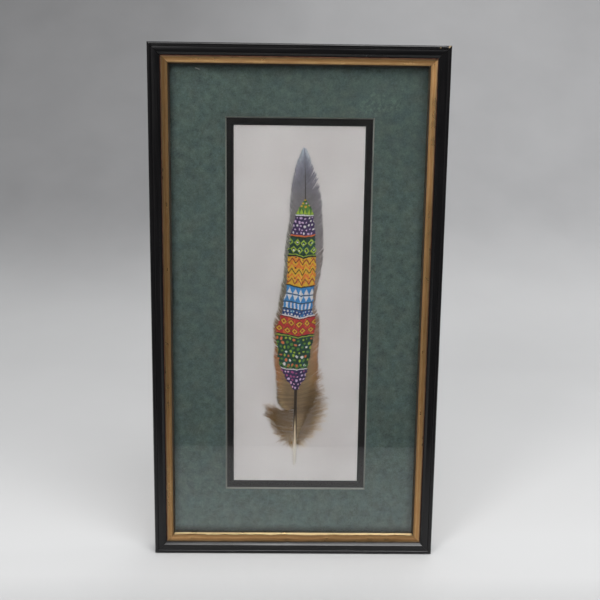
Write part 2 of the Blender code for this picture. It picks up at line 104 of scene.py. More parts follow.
# Feather, from the frame's centre: shaft rows are (height, sideways, half width), vane rows (height
# on the shaft, the barb's tip sideways, its tip's height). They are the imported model's, but for a
# lower foot and some rows of the left vane that follow the photograph more closely
QUILL_END = -155.0
VANE_START = -133.0
DOWN_END = -98.0
VANE_END = 148.4
SHAFT = (
    (-155.0, -0.3, 0.8),
    (-152.0, -0.2, 1.4),
    (-140.0, 0.0, 1.6),
    (-110.0, 0.1, 1.55),
    (-70.0, 0.6, 1.4),
    (-20.0, 2.6, 1.15),
    (40.0, 5.4, 0.85),
    (95.0, 7.2, 0.55),
    (125.0, 6.7, 0.38),
    (149.0, 5.8, 0.22),
)
LEFT_VANE = (
    (-131.0, -7.0, -132.5),
    (-126.0, -17.0, -126.5),
    (-119.0, -24.0, -114.0),
    (-110.0, -28.3, -101.0),
    (-103.0, -25.5, -95.8),
    (-98.0, -9.4, -100.4),
    (-95.5, -13.4, -97.6),
    (-92.5, -16.8, -93.4),
    (-87.5, -18.4, -87.5),
    (-80.0, -18.5, -77.0),
    (-68.0, -19.8, -62.5),
    (-58.0, -21.6, -49.0),
    (-50.0, -20.9, -40.0),
    (-38.0, -22.2, -22.0),
    (-29.0, -21.4, -11.0),
    (-20.0, -18.2, -2.0),
    (-6.0, -16.3, 11.0),
    (10.0, -13.6, 27.0),
    (25.0, -12.2, 42.0),
    (40.0, -11.4, 58.0),
    (56.0, -9.4, 75.0),
    (68.0, -7.6, 87.0),
    (85.0, -7.0, 104.0),
    (100.0, -5.4, 119.0),
    (115.0, -2.3, 134.0),
    (130.0, 1.5, 144.0),
    (141.0, 4.0, 149.0),
    (148.4, 5.3, 150.9),
)
RIGHT_VANE = (
    (-131.0, 6.0, -132.5),
    (-125.0, 16.0, -126.0),
    (-117.0, 23.5, -115.0),
    (-107.0, 28.0, -102.0),
    (-98.0, 28.8, -92.0),
    (-88.0, 26.0, -80.0),
    (-78.0, 21.8, -67.0),
    (-66.0, 22.0, -53.0),
    (-56.0, 21.4, -43.0),
    (-46.0, 22.4, -33.0),
    (-36.0, 22.5, -23.0),
    (-27.0, 22.6, -13.5),
    (-20.0, 22.6, -6.5),
    (-12.0, 18.8, 1.0),
    (-3.0, 18.3, 10.0),
    (6.0, 19.8, 20.0),
    (17.0, 21.8, 31.0),
    (28.0, 23.7, 42.0),
    (40.0, 24.8, 54.0),
    (53.0, 25.0, 66.0),
    (66.0, 24.2, 79.0),
    (80.0, 23.1, 92.0),
    (93.0, 22.2, 105.0),
    (104.0, 19.8, 116.5),
    (113.0, 17.2, 125.5),
    (122.0, 13.8, 134.0),
    (132.0, 10.6, 142.5),
    (141.0, 7.8, 148.5),
    (148.4, 6.3, 150.9),
)
VANES = {"left": LEFT_VANE, "right": RIGHT_VANE}
SIGNS = {"left": -1.0, "right": 1.0}
SHAFT_SIDES = 24
QUILL_ROUNDED = -148.0
SHAFT_END = 149.2
SHEET_THICK = 0.5
EDGE_HEIGHT = 0.32
FEATHER_GAP = 0.3  # what the feather keeps off the board

# Marks on the green mat, from the frame's centre: the pale patch's middle and reach, and the
# scratch's two ends
PALE_PATCH_PLACE = (73.0, 190.0)
PALE_PATCH_REACH = (22.0, 11.0)
SCRATCH = ((-93.2, 220.3), (-89.3, 218.9))
SCRATCH_WIDTH = 0.7
SCRATCH_SOFT = 0.4
SCRATCH_COLOUR = (0.42, 0.42, 0.41)
# Painted shade on the mat beside the frame's lip: how light the mat stays there at its sides and
# top, and at its foot, and how far off the lip the shade ends
LIP_SHADE_TONE = 0.66
FOOT_LIP_SHADE_TONE = 0.35
LIP_SHADE_SPAN = (2.0, 9.5)

# Barbs
BARB_PITCH = 0.42
BARB_WIDTH = 0.62
BARB_STEPS = 12
# Across a barb: the place in widths, how far it is lifted, and its painted shade, darker on the
# lowered edge and lighter on the raised ridge
BARB_RIDGE = ((-0.5, -0.05, 0.82), (0.1, 0.04, 1.06), (0.5, 0.0, 0.96))
BARB_GAIN = 1.3  # makes up for the shade between barbs
LOCK_SIZES = (6, 20)
# A barb starts at this share of the shaft's half width and bends at this share of its width, where
# it has risen by these shares in the down and the vane: the right side changes over this span
ROOT_SHARE = 0.55
BEND_SHARE = 0.55
DOWN_RISE, VANE_RISE = 0.05, 0.24
RISE_SPAN = (-114.0, -84.0)
LOWEST_BARB = 0.12  # over the board
DOWN_PITCH = 0.32
DOWN_STEPS = 24
DOWN_BARB_WIDTH = 0.1
BARBULE_PITCH = 0.45
BARBULE_WIDTH = 0.042
BARBULE_LENGTH = (1.5, 4.6)
BARBULE_STEPS = 4
RIGHT_DOWN_TOP = -70.0
DOWN_UNDER_VANE = 0.32  # how far back under the right vane its down starts, as a share of a barb
DOWN_LOW, DOWN_HIGH = 0.35, 2.6  # between these heights over the board
LOOSE_SPAN = (-76.0, -96.0)  # from where to where the right vane's ends grow more uneven
# Heights on the shaft of a few barbs that stand away from the right edge
LOOSE_BARBS = (-44.0, -41.5, -38.0, -35.0, -33.5, -29.0, -26.0, -21.0)
# Where the right vane's barbs lose their hold and turn to down: (height, share of their length)
RIGHT_HOLD = (
    (-129.0, 0.12),
    (-116.0, 0.26),
    (-106.0, 0.44),
    (-98.0, 0.63),
    (-93.0, 0.78),
    (-88.0, 0.9),
    (-78.0, 1.0),
)


# Numbers


def seen(red, green, blue):
    """The linear colour of a surface that looks like this 8-bit colour on the lit board."""
    value = np.array((red, green, blue)) / 255.0
    linear = np.where(value <= 0.04045, value / 12.92, ((value + 0.055) / 1.055) ** 2.4)
    return np.minimum(linear / LIGHT_LEVEL, 0.95)


def smooth_step(low, high, value):
    t = np.clip((value - low) / (high - low), 0.0, 1.0)
    return t * t * (3.0 - 2.0 * t)


def read_table(table, key):
    """Smooth values from rows of (key, value, ...) at an array of keys."""
    rows = np.array(table, float)
    keys, values = rows[:, 0], rows[:, 1:]
    slopes = np.gradient(values, keys, axis=0)
    key = np.clip(np.atleast_1d(key), keys[0], keys[-1])
    i = np.minimum(np.searchsorted(keys, key, side="right") - 1, len(keys) - 2)
    span = (keys[i + 1] - keys[i])[:, None]
    t = ((key - keys[i]) / span[:, 0])[:, None]
    return (
        (2 * t**3 - 3 * t**2 + 1) * values[i]
        + (t**3 - 2 * t**2 + t) * slopes[i] * span
        + (3 * t**2 - 2 * t**3) * values[i + 1]
        + (t**3 - t**2) * slopes[i + 1] * span
    )


def ramp_colours(table, key):
    """Colours between rows of (key, (red, green, blue)) as they look on the board."""
    keys = [row[0] for row in table]
    colours = np.array([seen(*row[1]) for row in table])
    return np.stack([np.interp(key, keys, colours[:, c]) for c in range(3)], axis=-1)


def lattice(x, y, seed):
    """A repeatable random number from 0 to 1 for each whole-number cell."""
    value = np.sin(x * 127.1 + y * 311.7 + seed * 74.7) * 43758.5453
    return value - np.floor(value)


def noise(x, y, size, seed):
    """Smooth noise from 0 to 1 whose bumps are about size across."""
    x, y = np.asarray(x) / size, np.asarray(y) / size
    x0, y0 = np.floor(x), np.floor(y)
    fx, fy = smooth_step(0, 1, x - x0), smooth_step(0, 1, y - y0)
    low = lattice(x0, y0, seed) * (1 - fx) + lattice(x0 + 1, y0, seed) * fx
    high = lattice(x0, y0 + 1, seed) * (1 - fx) + lattice(x0 + 1, y0 + 1, seed) * fx
    return low * (1 - fy) + high * fy


# Meshes


def link(name, mesh, skins, sharp=None):
    """A smooth object of a mesh in metres, whose edges above sharp degrees stay hard."""
    for skin in skins:
        mesh.materials.append(skin)
    mesh.shade_smooth()
    if sharp is not None:
        mesh.set_sharp_from_angle(angle=math.radians(sharp))
    obj = bpy.data.objects.new(name, mesh)
    bpy.context.scene.collection.objects.link(obj)
    return obj


def make_object(name, verts, faces, skins, sharp=None):
    """An object from points in millimetres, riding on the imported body."""
    if isinstance(faces, np.ndarray):
        faces = faces.tolist()
    mesh = bpy.data.meshes.new(name)
    mesh.from_pydata((np.asarray(verts) * MM).tolist(), [], faces)
    obj = link(name, mesh, skins, sharp)
    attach(obj, BODY)
    return obj


def from_bmesh(name, bm, skins, sharp):
    """An object from a bmesh in millimetres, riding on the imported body."""
    bmesh.ops.recalc_face_normals(bm, faces=bm.faces)
    bmesh.ops.scale(bm, vec=(MM, MM, MM), verts=bm.verts)
    mesh = bpy.data.meshes.new(name)
    bm.to_mesh(mesh)
    bm.free()
    obj = link(name, mesh, skins, sharp)
    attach(obj, BODY)
    return obj


def tint(obj, colours, name="tint"):
    """Stores a colour for each point, which the materials read."""
    layer = obj.data.color_attributes.new(name, "FLOAT_COLOR", "POINT")
    rgba = np.ones((len(obj.data.vertices), 4))
    rgba[:, :3] = colours
    layer.data.foreach_set("color", rgba.ravel())


def strip_faces(count, rows, columns):
    """Quads of count separate grids of rows by columns points, stored one after another."""
    r, c = np.meshgrid(np.arange(rows - 1), np.arange(columns - 1), indexing="ij")
    first = (r * columns + c).ravel()
    quad = np.stack([first, first + 1, first + columns + 1, first + columns], axis=1)
    starts = np.arange(count) * rows * columns
    return (starts[:, None, None] + quad[None]).reshape(-1, 4)


def tube_faces(rows, columns):
    """Quads around a tube of rings of points, then a cap for its first end and its last."""
    faces = []
    for row in range(rows - 1):
        a, b = row * columns, (row + 1) * columns
        for k in range(columns):
            n = (k + 1) % columns
            faces.append((a + k, a + n, b + n, b + k))
    last = (rows - 1) * columns
    faces.append(tuple(range(columns))[::-1])
    faces.append(tuple(range(last, last + columns)))
    return faces


# Node helpers


class Tree:
    """A material's node tree, built by short calls that return output sockets."""

    def __init__(self, name):
        self.material = bpy.data.materials.new(name)
        self.material.use_nodes = True
        self.nodes = self.material.node_tree.nodes
        self.links = self.material.node_tree.links
        self.shader = self.nodes["Principled BSDF"]

    def put(self, target, value):
        if isinstance(value, bpy.types.NodeSocket):
            self.links.new(value, target)
        elif hasattr(target.default_value, "__len__") and not hasattr(value, "__len__"):
            target.default_value = [value] * len(target.default_value)
        elif target.type == "RGBA" and len(value) == 3:
            target.default_value = (*value, 1.0)
        else:
            target.default_value = value

    def new(self, kind, inputs=None, **settings):
        made = self.nodes.new(kind)
        for key, value in settings.items():
            setattr(made, key, value)
        for key, value in (inputs or {}).items():
            self.put(made.inputs[key], value)
        return made

    def set(self, **values):
        """Inputs of the shader, by their names with _ for a space."""
        for key, value in values.items():
            self.put(self.shader.inputs[key.replace("_", " ")], value)

    def grained(self, base, grain, roughness, depth, **values):
        """A colour, with a roughness and a bump that follow a grain."""
        rough = self.span(grain, 0.3, 0.7, *roughness)
        self.set(Base_Color=base, Roughness=rough, Normal=self.bump(grain, depth), **values)
        return self.material

    def place(self, stretch=(1.0, 1.0, 1.0)):
        """Object coordinates in millimetres, stretched."""
        found = self.new("ShaderNodeTexCoord").outputs["Object"]
        scale = [s / MM for s in stretch]
        return self.new("ShaderNodeMapping", {"Vector": found, "Scale": scale}).outputs[0]

    def axes(self, letters):
        """Object coordinates in millimetres, a socket for each axis asked for."""
        outputs = self.new("ShaderNodeSeparateXYZ", {"Vector": self.place()}).outputs
        return [outputs[letter] for letter in letters]

    def noise(self, size, detail=3.0, rough=0.5, stretch=(1.0, 1.0, 1.0)):
        vector = self.place(stretch)
        inputs = {"Vector": vector, "Scale": 1.0 / size, "Detail": detail, "Roughness": rough}
        return self.new("ShaderNodeTexNoise", inputs).outputs["Fac"]

    def span(self, value, low, high, to_low=0.0, to_high=1.0, **settings):
        """A value from low to high brought to the span from to_low to to_high, and held there."""
        inputs = {
            "Value": value,
            "From Min": low,
            "From Max": high,
            "To Min": to_low,
            "To Max": to_high,
        }
        return self.new("ShaderNodeMapRange", inputs, **settings).outputs["Result"]

    def math(self, operation, a, b=0.0):
        made = self.new("ShaderNodeMath", operation=operation)
        self.put(made.inputs[0], a)
        self.put(made.inputs[1], b)
        return made.outputs[0]

    def plus(self, a, b):
        return self.math("ADD", a, b)

    def minus(self, a, b):
        return self.math("SUBTRACT", a, b)

    def times(self, a, b):
        return self.math("MULTIPLY", a, b)

    def size(self, a):
        return self.math("ABSOLUTE", a)

    def mix(self, fac, a, b, blend="MIX"):
        made = self.new("ShaderNodeMix", data_type="RGBA", blend_type=blend)
        self.put(made.inputs["Factor"], fac)
        self.put(made.inputs[6], a)
        self.put(made.inputs[7], b)
        return made.outputs[2]

    def bump(self, height, distance, strength=1.0, normal=None):
        """A bump whose full height is distance millimetres."""
        inputs = {"Height": height, "Distance": distance * MM, "Strength": strength}
        if normal is not None:
            inputs["Normal"] = normal
        return self.new("ShaderNodeBump", inputs).outputs["Normal"]

    def tint(self):
        """The colour stored for each point."""
        return self.new("ShaderNodeVertexColor", layer_name="tint").outputs["Color"]

    def wear(self, channel):
        """What a rail stores for each point: Red where it is worn, Green how far across the leaf."""
        stored = self.new("ShaderNodeVertexColor", layer_name="wear").outputs["Color"]
        return self.new("ShaderNodeSeparateColor", {"Color": stored}).outputs[channel]

    def facing(self, axis):
        """How far the surface faces along an axis of the object, from -1 to 1."""
        normal = self.new("ShaderNodeNewGeometry").outputs["Normal"]
        turned = self.new(
            "ShaderNodeVectorTransform",
            {"Vector": normal},
            vector_type="NORMAL",
            convert_from="WORLD",
            convert_to="OBJECT",
        ).outputs[0]
        return self.new("ShaderNodeSeparateXYZ", {"Vector": turned}).outputs[axis]


# Materials


def lacquer_material():
    """Black lacquer on wood: drawn along the rail, a little dusty, duller in streaks."""
    t = Tree("black_lacquer")
    streak = t.noise(1.1, 4, 0.6, stretch=(0.03, 1, 1))
    cloud = t.noise(14, 3, 0.55, stretch=(0.3, 1, 1))
    fleck = t.span(t.noise(0.5, 2, 0.5), 0.69, 0.74)
    base = t.mix(t.span(streak, 0.35, 0.75), (0.0025, 0.0024, 0.0028), (0.0075, 0.0068, 0.0072))
    base = t.mix(t.times(fleck, 0.25), base, (0.12, 0.11, 0.1))
    bare = t.span(t.plus(t.wear("Red"), t.span(cloud, 0, 1, -0.2, 0.2)), 0.5, 0.62)
    wood = t.mix(streak, (0.12, 0.075, 0.03), (0.26, 0.19, 0.1))
    base = t.mix(bare, base, wood)
    rough = t.span(cloud, 0.3, 0.7, 0.17, 0.28)
    rough = t.plus(rough, t.times(bare, 0.3))
    height = t.plus(t.times(streak, 0.6), t.times(cloud, 0.4))
    t.set(Base_Color=base, Roughness=rough, Normal=t.bump(height, 0.035))
    t.set(Specular_IOR_Level=0.34)
    return t.material


# The leaf's colours, before each rail's tone of painted light and shade, and a brighter colour, a
# painted highlight, for the leaf turned down the lip's side
LEAF_COLOURS = {
    "dark": (0.4, 0.21, 0.07),
    "light": (0.74, 0.5, 0.24),
    "stained": (0.5, 0.24, 0.11),
    "rubbed": (0.36, 0.17, 0.055),
    "outer edge": (0.2, 0.145, 0.08),
    "sight edge": (0.28, 0.155, 0.06),
}
LEAF_PAINTED_HIGHLIGHT = (0.66, 0.5, 0.265)
GROUND_FLECK = (0.2, 0.07, 0.03)


def gilt_material(name, tone, edge):
    """Bronze leaf over red ground, brushed along the rail and rubbed in places, with painted shade
    and a painted highlight.
    """
    t = Tree(name)
    streak = t.noise(0.55, 4, 0.65, stretch=(0.035, 1, 1))
    patch = t.noise(9, 4, 0.6, stretch=(0.5, 1, 1))
    fleck = t.span(t.noise(0.7, 3, 0.6), 0.62, 0.72)
    # tone is the rail's painted light and shade, which scales the leaf's colours
    hue = {part: np.array(colour) * tone for part, colour in LEAF_COLOURS.items()}
    base = t.mix(t.span(streak, 0.3, 0.7), hue["dark"], hue["light"])
    base = t.mix(t.span(patch, 0.4, 0.75, 0.0, 0.5), base, hue["stained"])
    base = t.mix(t.times(fleck, 0.5), base, GROUND_FLECK)
    across = t.plus(t.wear("Green"), t.span(patch, 0.3, 0.7, -0.05, 0.05))
    rubbed = t.times(t.span(across, 0.1, 0.32), t.span(across, 0.72, 0.5))
    base = t.mix(t.times(rubbed, 0.5), base, hue["rubbed"])
    # Darker towards the outer edge: brown ground showing through, and painted shade under the step
    base = t.mix(t.span(across, 0.28, 0.0, 0.0, 0.85), base, hue["outer edge"])
    # Painted shade: the leaf darkens towards its sight edge as strongly as edge, which dims the
    # round's reflection
    start = 0.95 - 0.42 * edge
    base = t.mix(t.span(across, start, start + 0.2, 0, edge), base, hue["sight edge"])
    # Painted highlight: the leaf turned down the lip's side keeps a bright colour outside the rail's
    # tone
    base = t.mix(t.span(across, 1.0, 1.05), base, LEAF_PAINTED_HIGHLIGHT)
    dull = t.times(t.span(across, start, start + 0.2), t.span(across, 1.05, 1.0))
    rough = t.plus(t.span(patch, 0.3, 0.7, 0.24, 0.4), t.times(dull, 0.28 * edge))
    height = t.plus(t.times(streak, 0.7), t.times(fleck, -0.4))
    t.set(Base_Color=base, Roughness=rough, Normal=t.bump(height, 0.03))
    t.set(Metallic=0.85)
    return t.material


def ground_material(name, dark, light):
    """The brown ground that shows where the leaf ends."""
    t = Tree(name)
    patch = t.noise(1.5, 3, 0.6, stretch=(0.2, 1, 1))
    base = t.mix(t.span(patch, 0.35, 0.7), dark, light)
    return t.grained(base, patch, (0.5, 0.7), 0.05)


def bare_wood_material():
    t = Tree("bare_wood")
    grain = t.noise(1.4, 5, 0.6, stretch=(0.02, 1, 1))
    cloud = t.noise(20, 3, 0.5, stretch=(0.2, 1, 1))
    base = t.mix(t.span(grain, 0.35, 0.65), (0.5, 0.33, 0.17), (0.33, 0.19, 0.085))
    base = t.mix(t.span(cloud, 0.4, 0.7, 0, 0.4), base, (0.42, 0.27, 0.14))
    return t.grained(base, grain, (0.62, 0.8), 0.08)


def glass_material():
    """Clear picture glass with the faintest waviness."""
    t = Tree("picture_glass")
    wave = t.noise(60, 1, 0.4)
    t.set(Base_Color=(0.985, 0.99, 0.985), Roughness=0.0, IOR=1.5)
    t.set(Transmission_Weight=1.0, Normal=t.bump(wave, 0.02))
    return t.material


def marks(t, face, pale):
    """A pale patch near the mat's top right, and a short scratch near its top left."""
    x, z = t.axes("XZ")
    z = t.minus(z, CENTRE_Z)
    off_x = t.math("DIVIDE", t.minus(x, PALE_PATCH_PLACE[0]), PALE_PATCH_REACH[0])
    off_z = t.math("DIVIDE", t.minus(z, PALE_PATCH_PLACE[1]), PALE_PATCH_REACH[1])
    away = t.plus(t.math("POWER", off_x, 2.0), t.math("POWER", off_z, 2.0))
    broken = t.times(t.span(away, 1.2, 0.5), t.span(t.noise(3.2, 3, 0.6), 0.48, 0.66))
    face = t.mix(t.times(broken, 0.45), face, pale)
    run, rise = np.subtract(SCRATCH[1], SCRATCH[0])
    length = math.hypot(run, rise)
    run, rise = float(run) / length, float(rise) / length
    off_x = t.minus(x, (SCRATCH[0][0] + SCRATCH[1][0]) / 2)
    off_z = t.minus(z, (SCRATCH[0][1] + SCRATCH[1][1]) / 2)
    along = t.size(t.plus(t.times(off_x, run), t.times(off_z, rise)))
    across = t.size(t.minus(t.times(off_z, run), t.times(off_x, rise)))
    inside = t.times(
        t.span(along, length / 2 + SCRATCH_SOFT, length / 2 - SCRATCH_SOFT),
        t.span(across, SCRATCH_WIDTH, SCRATCH_WIDTH / 2),
    )
    return t.mix(t.times(inside, 0.8), face, SCRATCH_COLOUR)


def lip_painted_shade(t):
    """Painted shade: how dark the mat is near the frame's lip, as in the lip's shadow."""
    x, z = t.axes("XZ")
    off_z = t.minus(z, CENTRE_Z)
    to_side = t.minus(SIGHT_HALF_WIDTH, t.size(x))
    to_top = t.minus(SIGHT_HALF_HEIGHT, off_z)
    to_foot = t.plus(SIGHT_HALF_HEIGHT, off_z)
    uneven = t.span(t.noise(6, 2), 0, 1, -0.8, 0.8)
    lip_shade = 1.0
    for away, tone in ((t.math("MINIMUM", to_side, to_top), LIP_SHADE_TONE), (to_foot, FOOT_LIP_SHADE_TONE)):
        away = t.plus(away, uneven)
        lip_shade = t.times(lip_shade, t.span(away, *LIP_SHADE_SPAN, tone, interpolation_type="SMOOTHSTEP"))
    return lip_shade


def mat_material(name, dark, light, core, low_core, marks_and_lip_shade=False):
    """Mat paper: fibres and clouds of colour on its face, and its core where it is cut."""
    t = Tree(name)
    fibre = t.noise(1.3, 5, 0.75)
    cloud = t.noise(5.5, 4, 0.65)
    speck = t.span(t.noise(0.8, 2, 0.5), 0.63, 0.72)
    value = t.plus(t.times(fibre, 0.55), t.times(cloud, 0.45))
    face = t.mix(t.span(value, 0.36, 0.64), dark, light)
    face = t.mix(t.times(speck, 0.3), face, light * 1.5)
    warm = t.span(t.noise(17, 2, 0.5), 0.45, 0.65, 0.0, 0.7)
    face = t.mix(warm, face, (1.08, 0.98, 0.95), "MULTIPLY")
    cool = t.span(t.noise(12, 2, 0.5, stretch=(1, 1.7, 1)), 0.45, 0.65, 0.0, 0.7)
    face = t.mix(cool, face, (0.94, 0.98, 1.06), "MULTIPLY")
    if marks_and_lip_shade:
        face = marks(t, face, light * 1.7)
        # Painted shade along the frame's lip
        face = t.mix(1.0, face, lip_painted_shade(t), "MULTIPLY")
    cut = t.span(t.size(t.facing("Y")), 0.93, 0.97, 1.0, 0.0)
    inside = t.mix(fibre, low_core, core)
    base = t.mix(cut, face, inside)
    return t.grained(base, fibre, (0.85, 0.97), 0.07, Specular_IOR_Level=0.3)


def board_material(name, dark, light):
    """Smooth board with a faint tooth and slow changes of tone."""
    t = Tree(name)
    tooth = t.noise(0.5, 4, 0.6)
    cloud = t.noise(45, 3, 0.5)
    value = t.plus(t.times(tooth, 0.3), t.times(cloud, 0.7))
    base = t.mix(t.span(value, 0.35, 0.65), dark, light)
    return t.grained(base, tooth, (0.86, 0.96), 0.03, Specular_IOR_Level=0.3)


def barb_material(name, roughness, depth):
    """Keratin barbs: their own tint, with fine mottling and a soft satin sheen."""
    t = Tree(name)
    mottle = t.noise(1.6, 4, 0.6)
    fine = t.noise(0.22, 3, 0.6)
    base = t.mix(t.span(mottle, 0.35, 0.75, 0.0, 0.4), t.tint(), (0.6, 0.55, 0.5), "MULTIPLY")
    t.set(Specular_IOR_Level=0.35, Sheen_Weight=0.15, Sheen_Roughness=0.5)
    return t.grained(base, fine, roughness, depth)


def shaft_material():
    """The horny shaft: its own tint, polished, with fine lengthwise lines."""
    t = Tree("feather_shaft")
    line = t.noise(0.25, 3, 0.6, stretch=(1, 1, 0.03))
    cloud = t.noise(6, 3, 0.6, stretch=(1, 1, 0.4))
    base = t.mix(t.span(cloud, 0.35, 0.75, 0.0, 0.25), t.tint(), (0.5, 0.42, 0.34), "MULTIPLY")
    return t.grained(base, line, (0.3, 0.45), 0.02, Coat_Weight=0.2, Coat_Roughness=0.2)


def paint_material():
    """Acrylic on barbs: satin, with the ridges of the barbs and of the brush showing, and painted
    shade in the grooves.
    """
    t = Tree("feather_paint")
    brush = t.noise(0.5, 4, 0.65, stretch=(1, 1, 0.5))
    found = t.new("ShaderNodeUVMap", uv_map="barbs").outputs["UV"]
    height = t.new("ShaderNodeSeparateXYZ", {"Vector": found}).outputs["Y"]
    turn = t.times(height, 2 * math.pi)
    ridge = t.times(t.math("SINE", turn), 0.5)
    base = t.mix(t.span(brush, 0.35, 0.75, 0.0, 0.35), t.tint(), (0.55, 0.55, 0.55), "MULTIPLY")
    # Painted shade: darker in the grooves between the barbs
    groove = t.span(ridge, -0.5, -0.3, 0.28, 0.0)
    base = t.mix(groove, base, (0.3, 0.28, 0.25), "MULTIPLY")
    t.set(Base_Color=base, Roughness=t.span(brush, 0.3, 0.7, 0.38, 0.6))
    normal = t.bump(ridge, 0.07)
    t.set(Normal=t.bump(brush, 0.06, normal=normal), Specular_IOR_Level=0.45)
    return t.material


def kraft_material():
    t = Tree("kraft_paper")
    fibre = t.noise(1.2, 5, 0.7, stretch=(1, 1, 0.25))
    cloud = t.noise(30, 4, 0.6)
    value = t.plus(t.times(fibre, 0.5), t.times(cloud, 0.5))
    base = t.mix(t.span(value, 0.35, 0.65), (0.3, 0.185, 0.095), (0.47, 0.32, 0.185))
    stripe = t.span(t.noise(0.9, 1, 0.5, stretch=(1, 1, 0.004)), 0.4, 0.65, 0, 0.22)
    base = t.mix(stripe, base, (0.24, 0.14, 0.07))
    return t.grained(base, fibre, (0.68, 0.88), 0.06)


def steel_material():
    """Thinly brassed steel, tarnished and finely scratched."""
    t = Tree("steel")
    scratch = t.noise(0.3, 3, 0.6, stretch=(0.1, 1, 1))
    stain = t.noise(3, 4, 0.6)
    base = t.mix(t.span(stain, 0.4, 0.7), (0.62, 0.56, 0.42), (0.38, 0.31, 0.2))
    rough = t.plus(t.span(scratch, 0.3, 0.7, 0.22, 0.38), t.span(stain, 0.5, 0.8, 0, 0.2))
    t.set(Base_Color=base, Roughness=rough, Normal=t.bump(scratch, 0.012))
    t.set(Metallic=1.0)
    return t.material


def felt_material():
    t = Tree("felt")
    fibre = t.noise(0.35, 5, 0.75)
    base = t.mix(fibre, (0.015, 0.014, 0.013), (0.06, 0.057, 0.053))
    return t.grained(base, fibre, (0.9, 1.0), 0.25, Sheen_Weight=0.4, Sheen_Roughness=0.6)


def stage_material():
    """White table top that turns into a pale grey wall as it rises, with painted shade on the wall's
    left.
    """
    t = Tree("table_white")
    cloud = t.noise(120, 3, 0.5)
    side, depth, height = t.axes("XYZ")
    floor_z = FRAME_LOW[2]
    rise = t.span(height, floor_z + 2.0, floor_z + 260.0, interpolation_type="SMOOTHSTEP")
    base = t.mix(rise, (0.46, 0.46, 0.46), (0.19, 0.19, 0.193))
    base = t.mix(t.span(depth, 20.0, 600.0), base, t.mix(0.5, base, (0.2, 0.2, 0.203)))
    base = t.mix(t.span(depth, -70.0, -310.0), base, (0.16, 0.16, 0.16))
    # Painted shade: the wall darkens towards its left
    dim = t.times(rise, t.span(side, 50.0, -300.0, 0.0, 0.45))
    base = t.mix(dim, base, (0.1, 0.1, 0.102))
    base = t.mix(t.span(cloud, 0.3, 0.7, 0.0, 0.05), base, (0.5, 0.5, 0.5))
    t.set(Base_Color=base, Roughness=0.75)
    return t.material


# Moulding


def arc(centre, radius, start, end, steps):
    angles = np.radians(np.linspace(start, end, steps + 1))
    return [(centre[0] + radius * math.cos(a), centre[1] + radius * math.sin(a)) for a in angles]


def hollow(start, end, sag, steps):
    """Points between two points of the section, sagging below the straight line or bulging."""
    points = []
    for k in range(1, steps):
        t = k / steps
        x = start[0] + (end[0] - start[0]) * t
        y = start[1] + (end[1] - start[1]) * t - sag * 4 * t * (1 - t)
        points.append((x, y))
    return points


LACQUER, GROUND, GILT, LIP, WOOD = range(5)
SHORT_RAILS = ("bottom", "top")
SHORT_RAIL_STEPS, LONG_RAIL_STEPS = 220, 380
RAIL_TURNS = {"bottom": 0, "right": -90, "top": 180, "left": 90}
RAIL_SEEDS = {"bottom": 1, "right": 2, "top": 3, "left": 4}
INSIDE_CAD = 0.002  # keeps the moulding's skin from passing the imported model's box


def moulding_section(turned_down):
    """Points (in from the outer edge, forward from the back), each with the skin after it.

    The leaf ends on the sight edge's round, or turns down this many points of the lip's side.
    """
    bead = arc((BEAD_RADIUS, RAIL_DEPTH - BEAD_RADIUS), BEAD_RADIUS, 180, 45, 14)
    groove = (BEAD_RADIUS + 1.75, RAIL_DEPTH - 1.0)
    crown_start = (BEAD_RADIUS + 2.0, RAIL_DEPTH - 0.75)
    crown_end = (CROWN_INNER, RAIL_DEPTH - 0.65)
    valley = (VALLEY_INNER, RAIL_DEPTH - 2.9)
    gilt_start = (GILT_OUTER, RAIL_DEPTH - 1.95)
    sight_round = arc((GILT_INNER, RAIL_DEPTH - 4.9), GILT_ROUND, 66, 0, 8)
    sight_foot = (RAIL_WIDTH, RABBET_DEPTH)
    lip_side = hollow(sight_round[-1], sight_foot, 0.35, 6)
    lacquer = [
        (0.0, 0.25),
        *bead,
        (BEAD_RADIUS + 1.6, RAIL_DEPTH - 0.93),
        groove,
        (BEAD_RADIUS + 1.86, RAIL_DEPTH - 0.93),
        crown_start,
        *hollow(crown_start, crown_end, -0.3, 10),
        crown_end,
        *hollow(crown_end, valley, 0.12, 8),
    ]
    edge = [*sight_round, *lip_side]
    last = len(sight_round) - 2 + turned_down
    gilt = [gilt_start, *hollow(gilt_start, sight_round[0], -0.2, 10), *edge[:last]]
    lip = edge[last:]
    wood = [
        sight_foot,
        (RAIL_WIDTH - RABBET_WIDTH, RABBET_DEPTH),
        (RAIL_WIDTH - RABBET_WIDTH, 0.0),
        (0.25, 0.0),
    ]
    section = [(point, LACQUER) for point in lacquer]
    section += [(valley, GROUND)]
    section += [(point, GILT) for point in gilt]
    section += [(point, LIP) for point in lip]
    section += [(point, WOOD) for point in wood]
    return section


def rail_matrix(side):
    """Places a rail made along X, outer edge at Z 0, inside up, in millimetres turned to metres."""
    reach = (FRAME_HEIGHT if side in SHORT_RAILS else FRAME_WIDTH) / 2
    place = Matrix.Translation((0, 0, CENTRE_Z * MM))
    turn = Matrix.Rotation(math.radians(RAIL_TURNS[side]), 4, "Y")
    return place @ turn @ Matrix.Translation((0, 0, -reach * MM))


# How many points of the lip's side the leaf covers
LEAF_TURNED_DOWN = {"bottom": 5, "right": 0, "top": 0, "left": 0}
